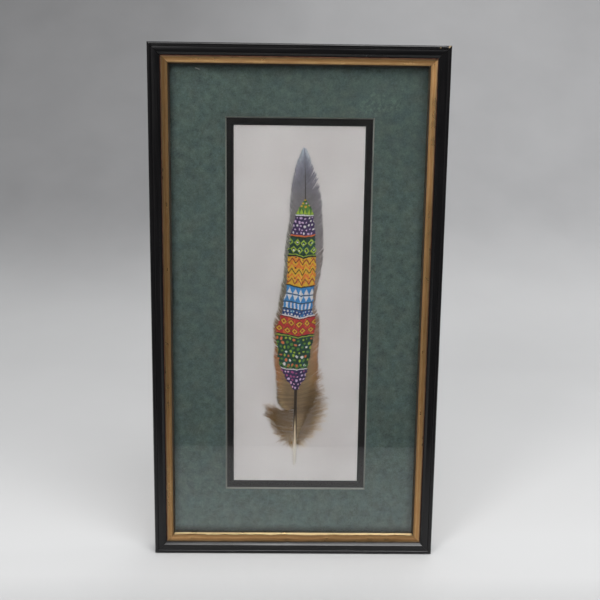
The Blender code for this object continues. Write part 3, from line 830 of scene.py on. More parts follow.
# Knocks in the moulding: (rail, along it, in from its edge, across, deep), in millimetres
KNOCKS = (
    ("top", -133.0, 1.0, 3.2, 0.9),
    ("top", -96.0, 1.2, 2.5, 0.25),
    ("top", 20.0, 9.4, 2.0, 0.25),
    ("bottom", -6.0, 12.6, 2.5, 0.35),
    ("bottom", 44.0, 12.3, 1.6, 0.3),
    ("bottom", 92.0, 13.0, 1.2, 0.2),
    ("bottom", -134.0, 1.0, 2.6, 0.7),
    ("bottom", 134.2, 1.0, 2.2, 0.6),
    ("left", 120.0, 9.5, 2.2, 0.3),
    ("left", -60.0, 2.0, 2.6, 0.25),
    ("right", -235.0, 1.5, 2.4, 0.5),
    ("right", 30.0, 9.8, 1.8, 0.25),
)
# Where the lacquer is gone: (rail, along it, in from its edge, across)
WORN = (
    ("top", -133.4, 1.6, 2.2),
    ("top", -124.5, 2.2, 0.9),
    ("bottom", 44.0, 12.0, 0.8),
    ("bottom", -6.0, 11.8, 0.6),
)


def off_mark(along, inward, mark, squash):
    """How far points of a rail are from a knock or a worn place, 1 at its reach."""
    at, deep_in, reach = mark
    return np.hypot(along - at, (inward - deep_in) * squash) / reach


def rail_grid(side, points):
    """The section's points all along a rail, with its knocks, and how worn each one is."""
    length = FRAME_WIDTH if side in SHORT_RAILS else FRAME_HEIGHT
    steps = SHORT_RAIL_STEPS if side in SHORT_RAILS else LONG_RAIL_STEPS
    share = np.linspace(-1, 1, steps + 1)
    share = share * 0.5 + np.sin(share * math.pi / 2) * 0.5
    reach = length / 2 - points[:, 0] - MITRE_GAP * math.sqrt(0.5)
    along = share[:, None] * reach[None, :]
    inward = np.broadcast_to(points[:, 0], along.shape).copy()
    forward = np.broadcast_to(points[:, 1], along.shape).copy()
    seed = RAIL_SEEDS[side]
    on_face = smooth_step(RABBET_DEPTH + 0.5, RABBET_DEPTH + 3, forward)
    forward -= on_face * 0.07 * (noise(along, inward * 2, 16, seed) - 0.2)
    inward += on_face * 0.05 * (noise(along, inward * 2, 23, seed + 9) - 0.5)
    worn = np.zeros(along.shape)
    for where, *mark, deep in KNOCKS:
        if where == side:
            away = off_mark(along, inward, mark, 1.2)
            forward -= deep * on_face * np.exp(-((away * 1.6) ** 2))
    for where, *mark in WORN:
        if where == side:
            away = off_mark(along, inward, mark, 1.1)
            worn = np.maximum(worn, np.exp(-(away**2)) * on_face)
    forward = np.clip(forward, 0.0, RAIL_DEPTH - INSIDE_CAD)
    inward = np.maximum(inward, INSIDE_CAD)
    return along, inward, forward, worn


def rail(side, skins):
    """One length of moulding with its knocks, its ends cut to the mitre."""
    section = moulding_section(LEAF_TURNED_DOWN[side])
    points = np.array([point for point, skin in section])
    along, inward, forward, worn = rail_grid(side, points)
    rows, columns = along.shape
    verts = np.stack([along, BACK_Y - forward, inward], axis=-1).reshape(-1, 3)
    mesh = bpy.data.meshes.new(f"moulding_{side}")
    mesh.from_pydata((verts * MM).tolist(), [], tube_faces(rows, columns))
    obj = link(f"moulding_{side}", mesh, skins, sharp=32)
    kinds = [skin for point, skin in section] * (rows - 1)
    mesh.polygons.foreach_set("material_index", kinds + [LIP, LIP])
    across = (points[:, 0] - GILT_OUTER) / (GILT_INNER + GILT_ROUND - GILT_OUTER)
    across = np.broadcast_to(np.clip(across, 0, 1.2), along.shape)
    tint(obj, np.stack([worn, across, across], axis=-1).reshape(-1, 3), "wear")
    obj.matrix_world = rail_matrix(side)
    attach(obj, BODY)
    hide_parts(f"rail_{side}")


# Feather


def shaft_at(height):
    values = read_table(SHAFT, height)
    return values[:, 0], values[:, 1]


def side_height(half_width):
    """How far over the board's face the vane leaves the shaft."""
    return np.maximum(0.9 * half_width, SHEET_THICK / 2 + 0.06)


def crown_height(half_width):
    """How far the shaft's back stands over where the vane leaves it."""
    return SHEET_THICK / 2 + 0.75 * half_width


def to_world(x, up, z):
    """From the frame's centre and the board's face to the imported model's frame, still in mm."""
    return np.stack([x, BOARD_FACE_Y - FEATHER_GAP - up, z + CENTRE_Z], axis=-1)


def barb_path(side, height, share, tip_shift=None):
    """Points (x, up, z) along the barbs that start at these heights, at shares of their length."""
    shaft_x, half_width = shaft_at(height)
    root = np.stack([shaft_x + SIGNS[side] * half_width * ROOT_SHARE, height], axis=-1)
    tip = read_table(VANES[side], height)
    if side == "left":
        rise = np.where(height < DOWN_END, DOWN_RISE, VANE_RISE)
    else:
        rise = np.interp(height, RISE_SPAN, (DOWN_RISE, VANE_RISE))
    bend = root + (tip - root) * np.stack([np.full_like(height, BEND_SHARE), rise], axis=-1)
    r = share[..., None]
    flat = (1 - r) ** 2 * root[:, None] + 2 * r * (1 - r) * bend[:, None] + r**2 * tip[:, None]
    if tip_shift is not None:
        flat = flat + tip_shift[:, None] * r**3
    x, z = flat[..., 0], flat[..., 1]
    top = side_height(half_width)[:, None]
    lift = EDGE_HEIGHT + (top - EDGE_HEIGHT) * np.clip(1 - share, 0, 1) ** 1.5
    wave = 0.28 * (noise(z * 0.6 + 40, x * 0.8, 11, 5) - 0.35) * smooth_step(0.1, 0.7, share)
    return x, np.maximum(lift + wave, LOWEST_BARB), z


# Vane colours as they look on the board, by height: towards the shaft, and at the edges
INNER_COLOURS = (
    (-132.0, (126, 110, 88)),
    (-110.0, (110, 93, 71)),
    (-98.0, (92, 76, 57)),
    (-84.0, (98, 82, 60)),
    (-60.0, (110, 92, 66)),
    (-30.0, (104, 90, 76)),
    (10.0, (101, 95, 93)),
    (60.0, (95, 91, 94)),
    (105.0, (90, 87, 91)),
    (130.0, (91, 90, 100)),
    (151.0, (107, 113, 125)),
)
EDGE_COLOURS = {
    "left": (
        (-132.0, (130, 111, 84)),
        (-105.0, (116, 93, 58)),
        (-90.0, (88, 74, 52)),
        (-70.0, (140, 98, 64)),
        (-45.0, (136, 92, 62)),
        (-20.0, (112, 88, 66)),
        (10.0, (94, 88, 74)),
        (45.0, (96, 96, 88)),
        (70.0, (100, 96, 92)),
        (105.0, (101, 98, 102)),
        (130.0, (106, 105, 116)),
        (151.0, (132, 140, 149)),
    ),
    "right": (
        (-132.0, (158, 147, 128)),
        (-105.0, (149, 135, 114)),
        (-90.0, (131, 111, 86)),
        (-70.0, (124, 98, 70)),
        (-45.0, (138, 102, 74)),
        (-20.0, (128, 100, 80)),
        (0.0, (124, 106, 96)),
        (30.0, (114, 104, 100)),
        (60.0, (108, 104, 106)),
        (105.0, (106, 103, 108)),
        (130.0, (113, 112, 122)),
        (151.0, (136, 143, 151)),
    ),
}


def vane_colours(side, share, end, x, z, barb_random):
    """The colour of the barbs at points of the vane, end being 1 where each one ends, with a painted
    shadow.
    """
    inner = ramp_colours(INNER_COLOURS, z)
    edge = ramp_colours(EDGE_COLOURS[side], z)
    weight = smooth_step(0.4, 0.95, share)[..., None]
    colour = inner * (1 - weight) + edge * weight
    bars = noise(x * 0.5 + z * 0.22, z * 0.9 - x * 0.5, 9, 3)
    fine = noise(x * 0.4, z - 0.6 * np.abs(x), 1.4, 8)
    colour = colour * (0.84 + 0.2 * bars[..., None] + 0.14 * fine[..., None])
    lobe = smooth_step(-62, -78, z) * smooth_step(0.35, 0.7, share)
    lobe = lobe * smooth_step(0.97, 0.8, share) * (side == "left")
    colour = colour * (1 - 0.6 * lobe[..., None]) + seen(120, 102, 76) * 0.6 * lobe[..., None]
    # Painted shadow: the barbs' ends darken where the vane's edge lies over the down
    rim = smooth_step(0.86, 0.99, end) * smooth_step(-55, -80, z) * smooth_step(-102, -96, z)
    colour = colour * (1 - (0.62 if side == "left" else 0.4) * rim[..., None])
    spread = 0.24 + 0.3 * smooth_step(-35, -75, z[:, :1])
    streak = 0.6 * barb_random[:, None] + 0.4 * noise(z[:, :1], share[:, :1] * 0, 1.7, 91)
    return BARB_GAIN * colour * (1 + spread * (streak - 0.5))[..., None]


# Splits in the vane: the height on the shaft where they start, and how far the tips part
SPLITS = {
    "left": ((-45.5, 2.2), (-24.5, 2.4), (59.5, 1.5), (97.0, 0.8)),
    "right": (
        (-72.0, 0.7),
        (-50.0, 1.4),
        (-15.0, 2.0),
        (24.0, 0.9),
        (101.0, 1.6),
        (108.0, 2.4),
        (113.0, 2.2),
        (119.0, 2.6),
        (126.0, 2.0),
        (133.0, 1.4),
    ),
}
# How far the locks' ends slant near the feather's tip
TIP_SLANT = {"left": 0.25, "right": 0.85}


def lock_shift(side, heights, rng):
    """How the locks move the tips: each lock closes up a little, and parts at the splits."""
    shift = np.zeros((len(heights), 2))
    start = 0
    while start < len(heights):
        size = int(rng.integers(*LOCK_SIZES))
        stop = min(start + size, len(heights))
        place = np.linspace(-1, 1, stop - start)
        pull = rng.uniform(0.02, 0.22) if rng.random() < 0.85 else rng.uniform(0.4, 0.8)
        shift[start:stop, 1] -= place * pull
        shift[start:stop, 0] += SIGNS[side] * rng.uniform(-0.35, 0.35)
        slant = TIP_SLANT[side] * smooth_step(88, 104, heights[start:stop])
        shift[start:stop, 0] -= SIGNS[side] * place * slant
        start = stop
    for at, part in SPLITS[side]:
        away = heights - at
        shift[:, 1] += part * 0.6 * np.where(away > 0, 1, -1) * np.exp(-np.abs(away) / 3.0)
    return shift


def feather_piece(name, verts, faces, tints, skin, sharp=None):
    """A piece of the feather, from points in millimetres with a colour each."""
    obj = make_object(name, verts.reshape(-1, 3), faces, [skin], sharp)
    tint(obj, tints.reshape(-1, 3))
    return obj


def vane_reach(side, heights, rng):
    """The share of each barb that holds together, which falls where the right vane turns to down."""
    if side == "left":
        return np.ones(len(heights))
    hold = np.array(RIGHT_HOLD)
    loose = smooth_step(*LOOSE_SPAN, heights)
    short = (0.08 + 0.2 * loose) * rng.random(len(heights)) * (heights < hold[-1, 0])
    return np.interp(heights, hold[:, 0], hold[:, 1]) * (1 - short)


def upward_across(x, z):
    """Unit vectors across paths in the board's plane, on the side that points up."""
    along_x, along_z = np.gradient(x, axis=1), np.gradient(z, axis=1)
    size = np.hypot(along_x, along_z) + 1e-9
    flip = np.where(along_x >= 0, 1.0, -1.0) / size
    return -along_z * flip, along_x * flip


def vane(side, skin, rng):
    """Every barb of one side of the vane, as a ridged strip that overlaps the next one."""
    start = DOWN_END if side == "left" else RIGHT_HOLD[0][0]
    heights = np.arange(start, VANE_END, BARB_PITCH)
    count = len(heights)
    barb_random = rng.random(count)
    shift = lock_shift(side, heights, rng)
    shift[:, 0] += SIGNS[side] * rng.uniform(-0.55, 0.4, count)
    shift[:, 1] += rng.uniform(-0.3, 0.3, count)
    reach = vane_reach(side, heights, rng)[:, None]
    end = np.linspace(0, 1, BARB_STEPS + 1)[None, :]
    share = end * reach
    x, up, z = barb_path(side, heights, share, shift)
    up = up - 0.16 * smooth_step(0.75, 1.0, end) * (reach < 1) + 0.03 * barb_random[:, None]
    across_x, across_z = upward_across(x, z)
    taper = np.interp(heights, (DOWN_END, VANE_END), (1.0, 0.8))[:, None]
    width = BARB_WIDTH * taper * (1 - 0.92 * smooth_step(0.86, 1.0, end))
    verts = [
        to_world(x + across_x * width * place, up + lift, z + across_z * width * place)
        for place, lift, shade in BARB_RIDGE
    ]
    colours = vane_colours(side, share, end, x, z, barb_random)
    shades = np.array([shade for place, lift, shade in BARB_RIDGE])
    tints = colours[:, :, None] * shades[None, None, :, None]
    faces = strip_faces(count, BARB_STEPS + 1, len(BARB_RIDGE))
    feather_piece(f"vane_{side}", np.stack(verts, axis=2), faces, tints, skin)


def ribbon(points, widths, colours):
    """Flat ribbons along paths (count, steps, 3) in the board's plane, with a colour a point."""
    along = np.gradient(points, axis=1)
    size = np.hypot(along[..., 0], along[..., 2])[..., None] + 1e-9
    across = np.stack([-along[..., 2], np.zeros_like(size[..., 0]), along[..., 0]], -1) / size
    half = across * widths[..., None] / 2
    verts = np.stack([points - half, points + half], axis=2)
    count, steps = points.shape[:2]
    faces = strip_faces(count, steps, 2)
    tints = np.repeat(colours[:, :, None], 2, axis=2)
    return verts.reshape(-1, 3), faces, tints.reshape(-1, 3)


# How much shorter or longer than the table's the down's barbs are, in millimetres
DOWN_SPREAD = {"left": (-8.5, 2.5), "right": (-9.5, 4.0)}
# What makes up for the board that shows between the barbules
DOWN_TONES = {"left": np.array((0.81, 0.66, 0.33)), "right": np.array((1.1, 1.03, 0.9))}


def down_colours(side, share, x, z, rng):
    """The colour of the down at points along its barbs."""
    colour = ramp_colours(INNER_COLOURS, z)
    pale = smooth_step(0.45, 1.0, share)[..., None]
    tips = ramp_colours(EDGE_COLOURS[side], z)
    colour = colour * (1 - pale) + tips * pale
    curl = smooth_step(-106, -99, z) * smooth_step(-15, -22, x)
    colour = colour * (1 - curl[..., None]) + seen(122, 98, 74) * curl[..., None]
    streak = noise(z, share * 3, 3.2, 61)[..., None]
    colour = colour * (0.72 + 0.56 * streak) * DOWN_TONES[side]
    return BARB_GAIN * colour * (0.82 + 0.36 * rng.random(len(z)))[:, None, None]


def along_path(path, place):
    """Values of a path (steps, n) at shares of its length of steps."""
    at = np.linspace(0, 1, len(path))
    return np.stack([np.interp(place, at, column) for column in path.T], axis=-1)


def barbules(path, hue, length, rng):
    """Two rows of fine curved barbules along one barb, as ribbons."""
    number = max(int(length / BARBULE_PITCH), 2)
    place = np.clip(np.linspace(0.02, 1.0, number) + rng.uniform(-0.01, 0.01, number), 0, 1)
    base = along_path(path, place)
    colour = along_path(hue, place)
    course = np.gradient(base, axis=0)
    angle = np.arctan2(course[:, 2], course[:, 0])
    t = np.linspace(0, 1, BARBULE_STEPS)[None, :]
    made = []
    for turn in (-1, 1):
        lean = angle + turn * rng.uniform(0.3, 0.85, number)
        reach = rng.uniform(*BARBULE_LENGTH, number)
        reach = reach * np.interp(place, (0, 0.6, 1), (0.8, 1, 0.85))
        bend = lean[:, None] + turn * rng.uniform(-0.7, 0.3, number)[:, None] * t
        path_x = np.cos(bend) * reach[:, None] * t
        path_z = np.sin(bend) * reach[:, None] * t
        path_y = rng.uniform(-0.5, 0.25, number)[:, None] * t
        points = base[:, None, :] + np.stack([path_x, path_y, path_z], axis=-1)
        width = BARBULE_WIDTH * (1 - 0.7 * t) * np.ones((number, 1))
        tone = colour[:, None, :] * (0.85 + 0.3 * rng.random(number))[:, None, None]
        made.append(ribbon(points, width, tone * np.ones((1, BARBULE_STEPS, 1))))
    return made


def join(pieces):
    """One list of points, faces and colours from several."""
    offset, verts, faces, tints = 0, [], [], []
    for part_verts, part_faces, part_tints in pieces:
        verts.append(part_verts)
        faces.append(part_faces + offset)
        tints.append(part_tints)
        offset += len(part_verts)
    return np.concatenate(verts), np.concatenate(faces), np.concatenate(tints)


def down(side, skin, rng):
    """The loose down: wavy barbs, each with two rows of fine barbules that hook nowhere."""
    top = DOWN_END - 1.6 if side == "left" else RIGHT_DOWN_TOP
    heights = np.arange(VANE_START, top, DOWN_PITCH)
    count = len(heights)
    heights = heights + rng.uniform(-0.3, 0.3, count)
    inner = np.zeros(count)
    if side == "right":
        hold = np.array(RIGHT_HOLD)
        inner = np.interp(heights, hold[:, 0], hold[:, 1] - DOWN_UNDER_VANE, left=0.0)
        inner = inner * (1 - 0.55 * smooth_step(-76, -90, heights))
    share = inner[:, None] + (1 - inner[:, None]) * np.linspace(0, 1, DOWN_STEPS)[None, :]
    drift = noise(heights, heights * 0, 5.0, 71) - 0.5
    shift_x = SIGNS[side] * (rng.uniform(*DOWN_SPREAD[side], count) + 1.2 * drift)
    shift_z = rng.uniform(-2.4, 2.4, count) + 2.0 * drift
    shift_z -= rng.uniform(0.0, 5.0, count) * smooth_step(-120, -131, heights)
    x, up, z = barb_path(side, heights, share, np.stack([shift_x, shift_z], axis=-1))
    phase = rng.uniform(0, 6.28, count)[:, None]
    sway = 0.4 * np.sin(share * rng.uniform(4, 8, count)[:, None] + phase) * share
    x, z = x + sway * 0.4, z + sway
    up = 0.2 + rng.uniform(0.0, 1.1, count)[:, None] * smooth_step(0, 0.5, share) + up * 0.4
    points = to_world(x, up, z)
    colour = down_colours(side, share, x, z, rng)
    pieces = [ribbon(points, DOWN_BARB_WIDTH * (1 - 0.75 * share), colour)]
    length = np.hypot(np.diff(x, axis=1), np.diff(z, axis=1)).sum(axis=1)
    for k in range(count):
        pieces += barbules(points[k], colour[k], length[k], rng)
    verts, faces, tints = join(pieces)
    verts[:, 1] = np.clip(verts[:, 1], BOARD_FACE_Y - DOWN_HIGH, BOARD_FACE_Y - DOWN_LOW)
    feather_piece(f"down_{side}", verts, faces, tints, skin)


def loose_barbs(skin, rng):
    """A few single barbs that stand away from the right edge."""
    heights = np.array(LOOSE_BARBS)
    count, steps = len(heights), 10
    share = np.linspace(0.7, 1.0, steps)[None, :] * np.ones((count, 1))
    shift = np.stack([rng.uniform(3.0, 6.5, count), rng.uniform(-1.0, 3.5, count)], -1)
    x, up, z = barb_path("right", heights, share, shift)
    colour = np.ones((count, steps, 1)) * seen(128, 114, 98)
    widths = 0.13 * np.linspace(1, 0.3, steps)[None, :] * np.ones((count, 1))
    verts, faces, tints = ribbon(to_world(x, up, z), widths, colour)
    feather_piece("loose_barbs", verts, faces, tints, skin)


# The shaft's colours by height: its dark back, and the pale wedge that runs up it from the quill
SHAFT_DARK = (
    (-135.0, (110, 90, 62)),
    (-105.0, (60, 44, 28)),
    (-80.0, (46, 34, 22)),
    (95.0, (62, 57, 56)),
    (126.0, (74, 70, 72)),
    (137.0, (112, 111, 118)),
    (148.0, (122, 128, 136)),
)
SHAFT_PALE = (
    (-156.0, (196, 192, 186)),
    (-138.0, (202, 197, 189)),
    (-131.0, (202, 186, 168)),
    (-112.0, (212, 184, 152)),
    (-100.0, (150, 118, 88)),
)


def shaft(skin):
    """The quill and shaft: an oval tube that thins towards the tip, flat underneath."""
    quill = np.linspace(QUILL_END, QUILL_ROUNDED, 12)[:-1]
    heights = np.concatenate([quill, np.linspace(QUILL_ROUNDED, SHAFT_END, 200)])
    x, half_width = shaft_at(heights)
    angle = np.linspace(0, 2 * math.pi, SHAFT_SIDES, endpoint=False)
    over, under = np.maximum(np.sin(angle), 0), np.minimum(np.sin(angle), 0)
    top = side_height(half_width)[:, None]
    crown = crown_height(half_width) * (1 - 0.35 * smooth_step(-128, -140, heights))
    up = top + crown[:, None] * over[None] + (top - 0.03) * under[None]
    across = x[:, None] + half_width[:, None] * np.cos(angle)[None]
    z = np.broadcast_to(heights[:, None], across.shape)
    faces = [(face[0], *face[:0:-1]) for face in tube_faces(len(heights), SHAFT_SIDES)]
    middle = np.abs(np.cos(angle))[None] * np.ones_like(across)
    wedge = np.interp(z, (-133, -104), (0.85, 0.05))
    pale = smooth_step(wedge + 0.12, wedge - 0.12, middle)
    pale = np.maximum(pale, smooth_step(-131.5, -134.5, z))
    pale = (pale * smooth_step(-102, -106, z))[..., None]
    tints = ramp_colours(SHAFT_DARK, z) * (1 - pale) + ramp_colours(SHAFT_PALE, z) * pale
    obj = feather_piece("shaft", to_world(across, up, z), faces, tints, skin, sharp=50)
    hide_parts("feather")


# Painted design: bands of common folk motifs, as they look on the board

PURPLE = (52, 34, 78)
LILAC = (192, 168, 206)
WHITE = (226, 226, 222)
PINK = (214, 156, 190)
DEEP_GREEN = (16, 56, 40)
TEAL = (20, 78, 70)
LIME = (146, 172, 52)
LEAF = (78, 122, 48)
YELLOW = (206, 160, 44)
ORANGE = (204, 100, 44)
RUST = (140, 60, 32)
RED = (166, 38, 42)
BLUE = (46, 118, 178)
NAVY = (24, 56, 116)
SKY = (160, 196, 214)
BLACK = (24, 20, 22)


class Painter:
    """Paints colours and a height over an array of points, one motif over another."""

    def __init__(self, p, q):
        self.p, self.q = p, q
        self.colour = np.zeros(p.shape + (3,))
        self.relief = np.zeros(p.shape)

    def lay(self, mask, colour, height=0.0):
        weight = np.clip(mask, 0, 1)[..., None]
        self.colour = self.colour * (1 - weight) + seen(*colour) * weight
        self.relief = np.maximum(self.relief, np.clip(mask, 0, 1) * height)

    def inside(self, top, bottom, soft=0.25):
        below = smooth_step(top + soft, top - soft, self.q)
        return below * smooth_step(bottom - soft, bottom + soft, self.q)

    def ground(self, top, bottom, colour, other):
        """A band of ground colour, brushed in two tones."""
        tone = noise(self.p * 1.2, self.q * 0.6, 1.7, top)
        self.lay(self.inside(top, bottom), colour, 0.02)
        self.lay(self.inside(top, bottom) * smooth_step(0.55, 0.8, tone) * 0.7, other)

    def stripe(self, at, width, colour):
        self.lay(self.inside(at + width / 2, at - width / 2, 0.15), colour, 0.06)

    def cells(self, top, rows, pitch_p, pitch_q, stagger=0.5, loose=0.34):
        """Distances from the middle of each cell of a grid of rows below a height."""
        row = np.floor((top - self.q) / pitch_q)
        offset = np.where(row % 2 > 0, stagger, 0.0)
        column = np.floor(self.p / pitch_p + offset + 0.5)
        centre_p = (column - offset) * pitch_p
        centre_q = top - (row + 0.5) * pitch_q
        centre_p = centre_p + loose * pitch_p * (lattice(column, row, 11) - 0.5)
        centre_q = centre_q + loose * pitch_q * (lattice(column, row, 12) - 0.5)
        valid = (row >= 0) & (row < rows)
        return self.p - centre_p, self.q - centre_q, valid, column, row

    def dots(self, top, rows, pitch_p, pitch_q, radius, colours, height=0.12):
        """Round dabs of paint in rows, their colours taken in turn."""
        dp, dq, valid, column, row = self.cells(top, rows, pitch_p, pitch_q)
        size = radius * (0.75 + 0.55 * lattice(column, row, 5))
        squash = 0.75 + 0.5 * lattice(column, row, 6)
        ripple = 0.3 * (noise(self.p, self.q, 0.8, 7) - 0.5)
        away = np.hypot(dp * squash, dq / squash) / size + ripple
        mask = smooth_step(1.12, 0.8, away) * valid
        turn = np.floor(lattice(column, row, 9) * len(colours))
        for k, colour in enumerate(colours):
            self.lay(mask * (turn == k), colour, height)

    def diamonds(self, top, rows, pitch_p, pitch_q, size, colour, height=0.08):
        dp, dq, valid = self.cells(top, rows, pitch_p, pitch_q, loose=0.05)[:3]
        away = np.abs(dp) / (pitch_p / 2 * size) + np.abs(dq) / (pitch_q / 2 * size)
        self.lay(smooth_step(1.1, 0.9, away) * valid, colour, height)

    def zigzag(self, at, reach, pitch, width, colour, height=0.08):
        """A zigzag line about a height, reach high from foot to peak."""
        fold = np.abs((self.p / pitch + 0.5) % 1.0 - 0.5) * 2
        line = at - reach / 2 + fold * reach
        slope = math.hypot(1, 2 * reach / pitch)
        away = np.abs(self.q - line) / (width / 2 * slope)
        self.lay(smooth_step(1.15, 0.8, away), colour, height)

    def triangles(self, top, bottom, pitch, colour, down=False, height=0.08):
        """A row of triangles standing on a line, or hanging from one."""
        fold = np.abs((self.p / pitch + 0.5) % 1.0 - 0.5) * 2
        share = (top - self.q) / (top - bottom)
        if down:
            share = 1 - share
        inside = self.inside(top, bottom, 0.12)
        self.lay(smooth_step(-0.06, 0.06, share - fold - 0.08) * inside, colour, height)

    def bars(self, top, bottom, pitch, width, colour, height=0.08):
        """Upright bars between two heights."""
        away = np.abs((self.p / pitch) % 1.0 - 0.5) * pitch / (width / 2)
        self.lay(smooth_step(1.1, 0.85, away) * self.inside(top, bottom, 0.12), colour, height)


def paint_bands(painter):
    """The design from its top to its foot: dots, diamonds, zigzags, triangles and bars."""
    painter.ground(108, 88, LEAF, DEEP_GREEN)
    painter.triangles(95, 89, 3.2, LIME)
    painter.dots(105, 3, 3.2, 3.2, 1.0, (PINK, YELLOW))
    painter.ground(88, 69, PURPLE, (74, 44, 98))
    painter.dots(87.2, 5, 3.4, 3.5, 0.95, (LILAC, WHITE, LILAC))
    painter.stripe(88, 1.1, WHITE)
    painter.stripe(86.7, 0.7, BLACK)
    painter.ground(69, 49, DEEP_GREEN, TEAL)
    painter.diamonds(66.6, 2, 6.4, 7.6, 0.92, LIME)
    painter.diamonds(66.6, 2, 6.4, 7.6, 0.5, DEEP_GREEN)
    painter.dots(66.6, 2, 6.4, 7.6, 0.7, (WHITE,))
    painter.stripe(69, 1.3, ORANGE)
    painter.stripe(67.6, 0.6, BLACK)
    painter.stripe(50.4, 0.7, LIME)
    painter.ground(49, 21, YELLOW, ORANGE)
    for k, colour in enumerate((RUST, ORANGE, BLACK, ORANGE, RUST)):
        painter.zigzag(44.6 - k * 4.7, 4.6, 6.4, 1.0 if colour != BLACK else 0.7, colour)
    for k in range(5):
        painter.dots(49.0 - k * 4.7, 1, 6.4, 3.2, 0.55, (BLACK,))
    painter.stripe(49, 1.2, BLACK)
    painter.stripe(21.3, 1.2, BLACK)
    painter.ground(20.6, -7.5, BLUE, (66, 138, 192))
    painter.triangles(19.6, 13.4, 5.2, WHITE)
    painter.triangles(12.0, 5.8, 5.2, WHITE, down=True)
    painter.stripe(12.7, 0.8, BLACK)
    painter.bars(4.4, -0.4, 3.6, 1.5, WHITE)
    painter.stripe(5.1, 0.8, BLACK)
    painter.stripe(-1.0, 0.9, BLACK)
    painter.ground(-1.6, -8.0, NAVY, BLUE)
    painter.dots(-1.9, 2, 3.0, 2.9, 0.75, (SKY, WHITE))
    painter.ground(-8.0, -26.5, RED, ORANGE)
    painter.stripe(-8.0, 1.2, WHITE)
    painter.stripe(-9.2, 0.8, BLACK)
    painter.diamonds(-10.4, 2, 7.4, 7.4, 0.96, BLACK)
    painter.diamonds(-10.4, 2, 7.4, 7.4, 0.78, YELLOW)
    painter.diamonds(-10.4, 2, 7.4, 7.4, 0.4, RUST)
    painter.stripe(-26.2, 0.8, BLACK)
    painter.ground(-26.6, -58.5, DEEP_GREEN, TEAL)
    painter.stripe(-27.5, 0.8, LIME)
    painter.dots(-28.4, 7, 4.1, 4.1, 1.2, (LIME, WHITE, LIME, LEAF, (206, 104, 60)))
    painter.zigzag(-56.6, 3.4, 5.6, 0.9, LEAF)
    painter.ground(-58.8, -84, PURPLE, (40, 30, 66))
    painter.stripe(-59.2, 0.9, WHITE)
    painter.dots(-60.4, 6, 3.7, 3.7, 1.05, (PINK, LILAC, (150, 70, 120)))


PAINT_STARTS = (-92.0, 104.0)  # the barbs that carry the paint, by their heights on the shaft
PAINT_PITCH = 0.36
PAINT_COLUMNS, PAINT_SHAFT_COLUMNS = 46, 7
PAINT_FOOT, PAINT_TOP = -79.0, 103.5
# How far the paint reaches out along the barbs, by height: (height, left, right)
PAINT_REACH = (
    (-80.0, 0.02, 0.02),
    (-74.0, 0.26, 0.2),
    (-66.0, 0.5, 0.4),
    (-55.0, 0.72, 0.52),
    (-40.0, 0.84, 0.6),
    (-25.0, 0.88, 0.72),
    (-8.0, 0.86, 0.84),
    (8.0, 0.8, 0.8),
    (30.0, 0.78, 0.7),
    (50.0, 0.82, 0.62),
    (70.0, 0.8, 0.56),
    (85.0, 0.66, 0.5),
    (96.0, 0.4, 0.36),
    (104.0, 0.04, 0.05),
)


def fillet(off):
    """The paint's height over the shaft, off its middle in half widths: a dome with a soft foot."""
    dome = np.sqrt(np.clip(1 - off**2, 0, 1))
    foot = 0.75 * np.exp(-((off / 1.35) ** 2))
    return np.maximum(dome, foot) + 0.04


def paint_grid(starts):
    """Points that paint could cover: x, up, z and the share of a barb, negative on the left."""
    shaft_x, half_width = (row[:, None] for row in shaft_at(starts))
    sides = []
    for side in ("left", "right"):
        share = np.linspace(0, 1, PAINT_COLUMNS)[None, :] ** 1.4 * np.ones((len(starts), 1))
        x, up, z = barb_path(side, starts, share)
        over_x, over_width = (row.reshape(x.shape) for row in shaft_at(z.ravel()))
        foot = fillet(np.abs(x - over_x) / over_width)
        dome = side_height(over_width) + crown_height(over_width) * foot
        sides.append((x, np.maximum(up, dome), z, SIGNS[side] * share))
    off = np.linspace(-0.55, 0.55, PAINT_SHAFT_COLUMNS)[None, :]
    middle = (
        shaft_x + off * half_width,
        side_height(half_width) + crown_height(half_width) * fillet(np.abs(off)),
        starts[:, None] * np.ones_like(off),
        np.zeros((len(starts), PAINT_SHAFT_COLUMNS)),
    )
    return [np.concatenate([a[:, ::-1], b, c], 1) for a, b, c in zip(sides[0], middle, sides[1])]


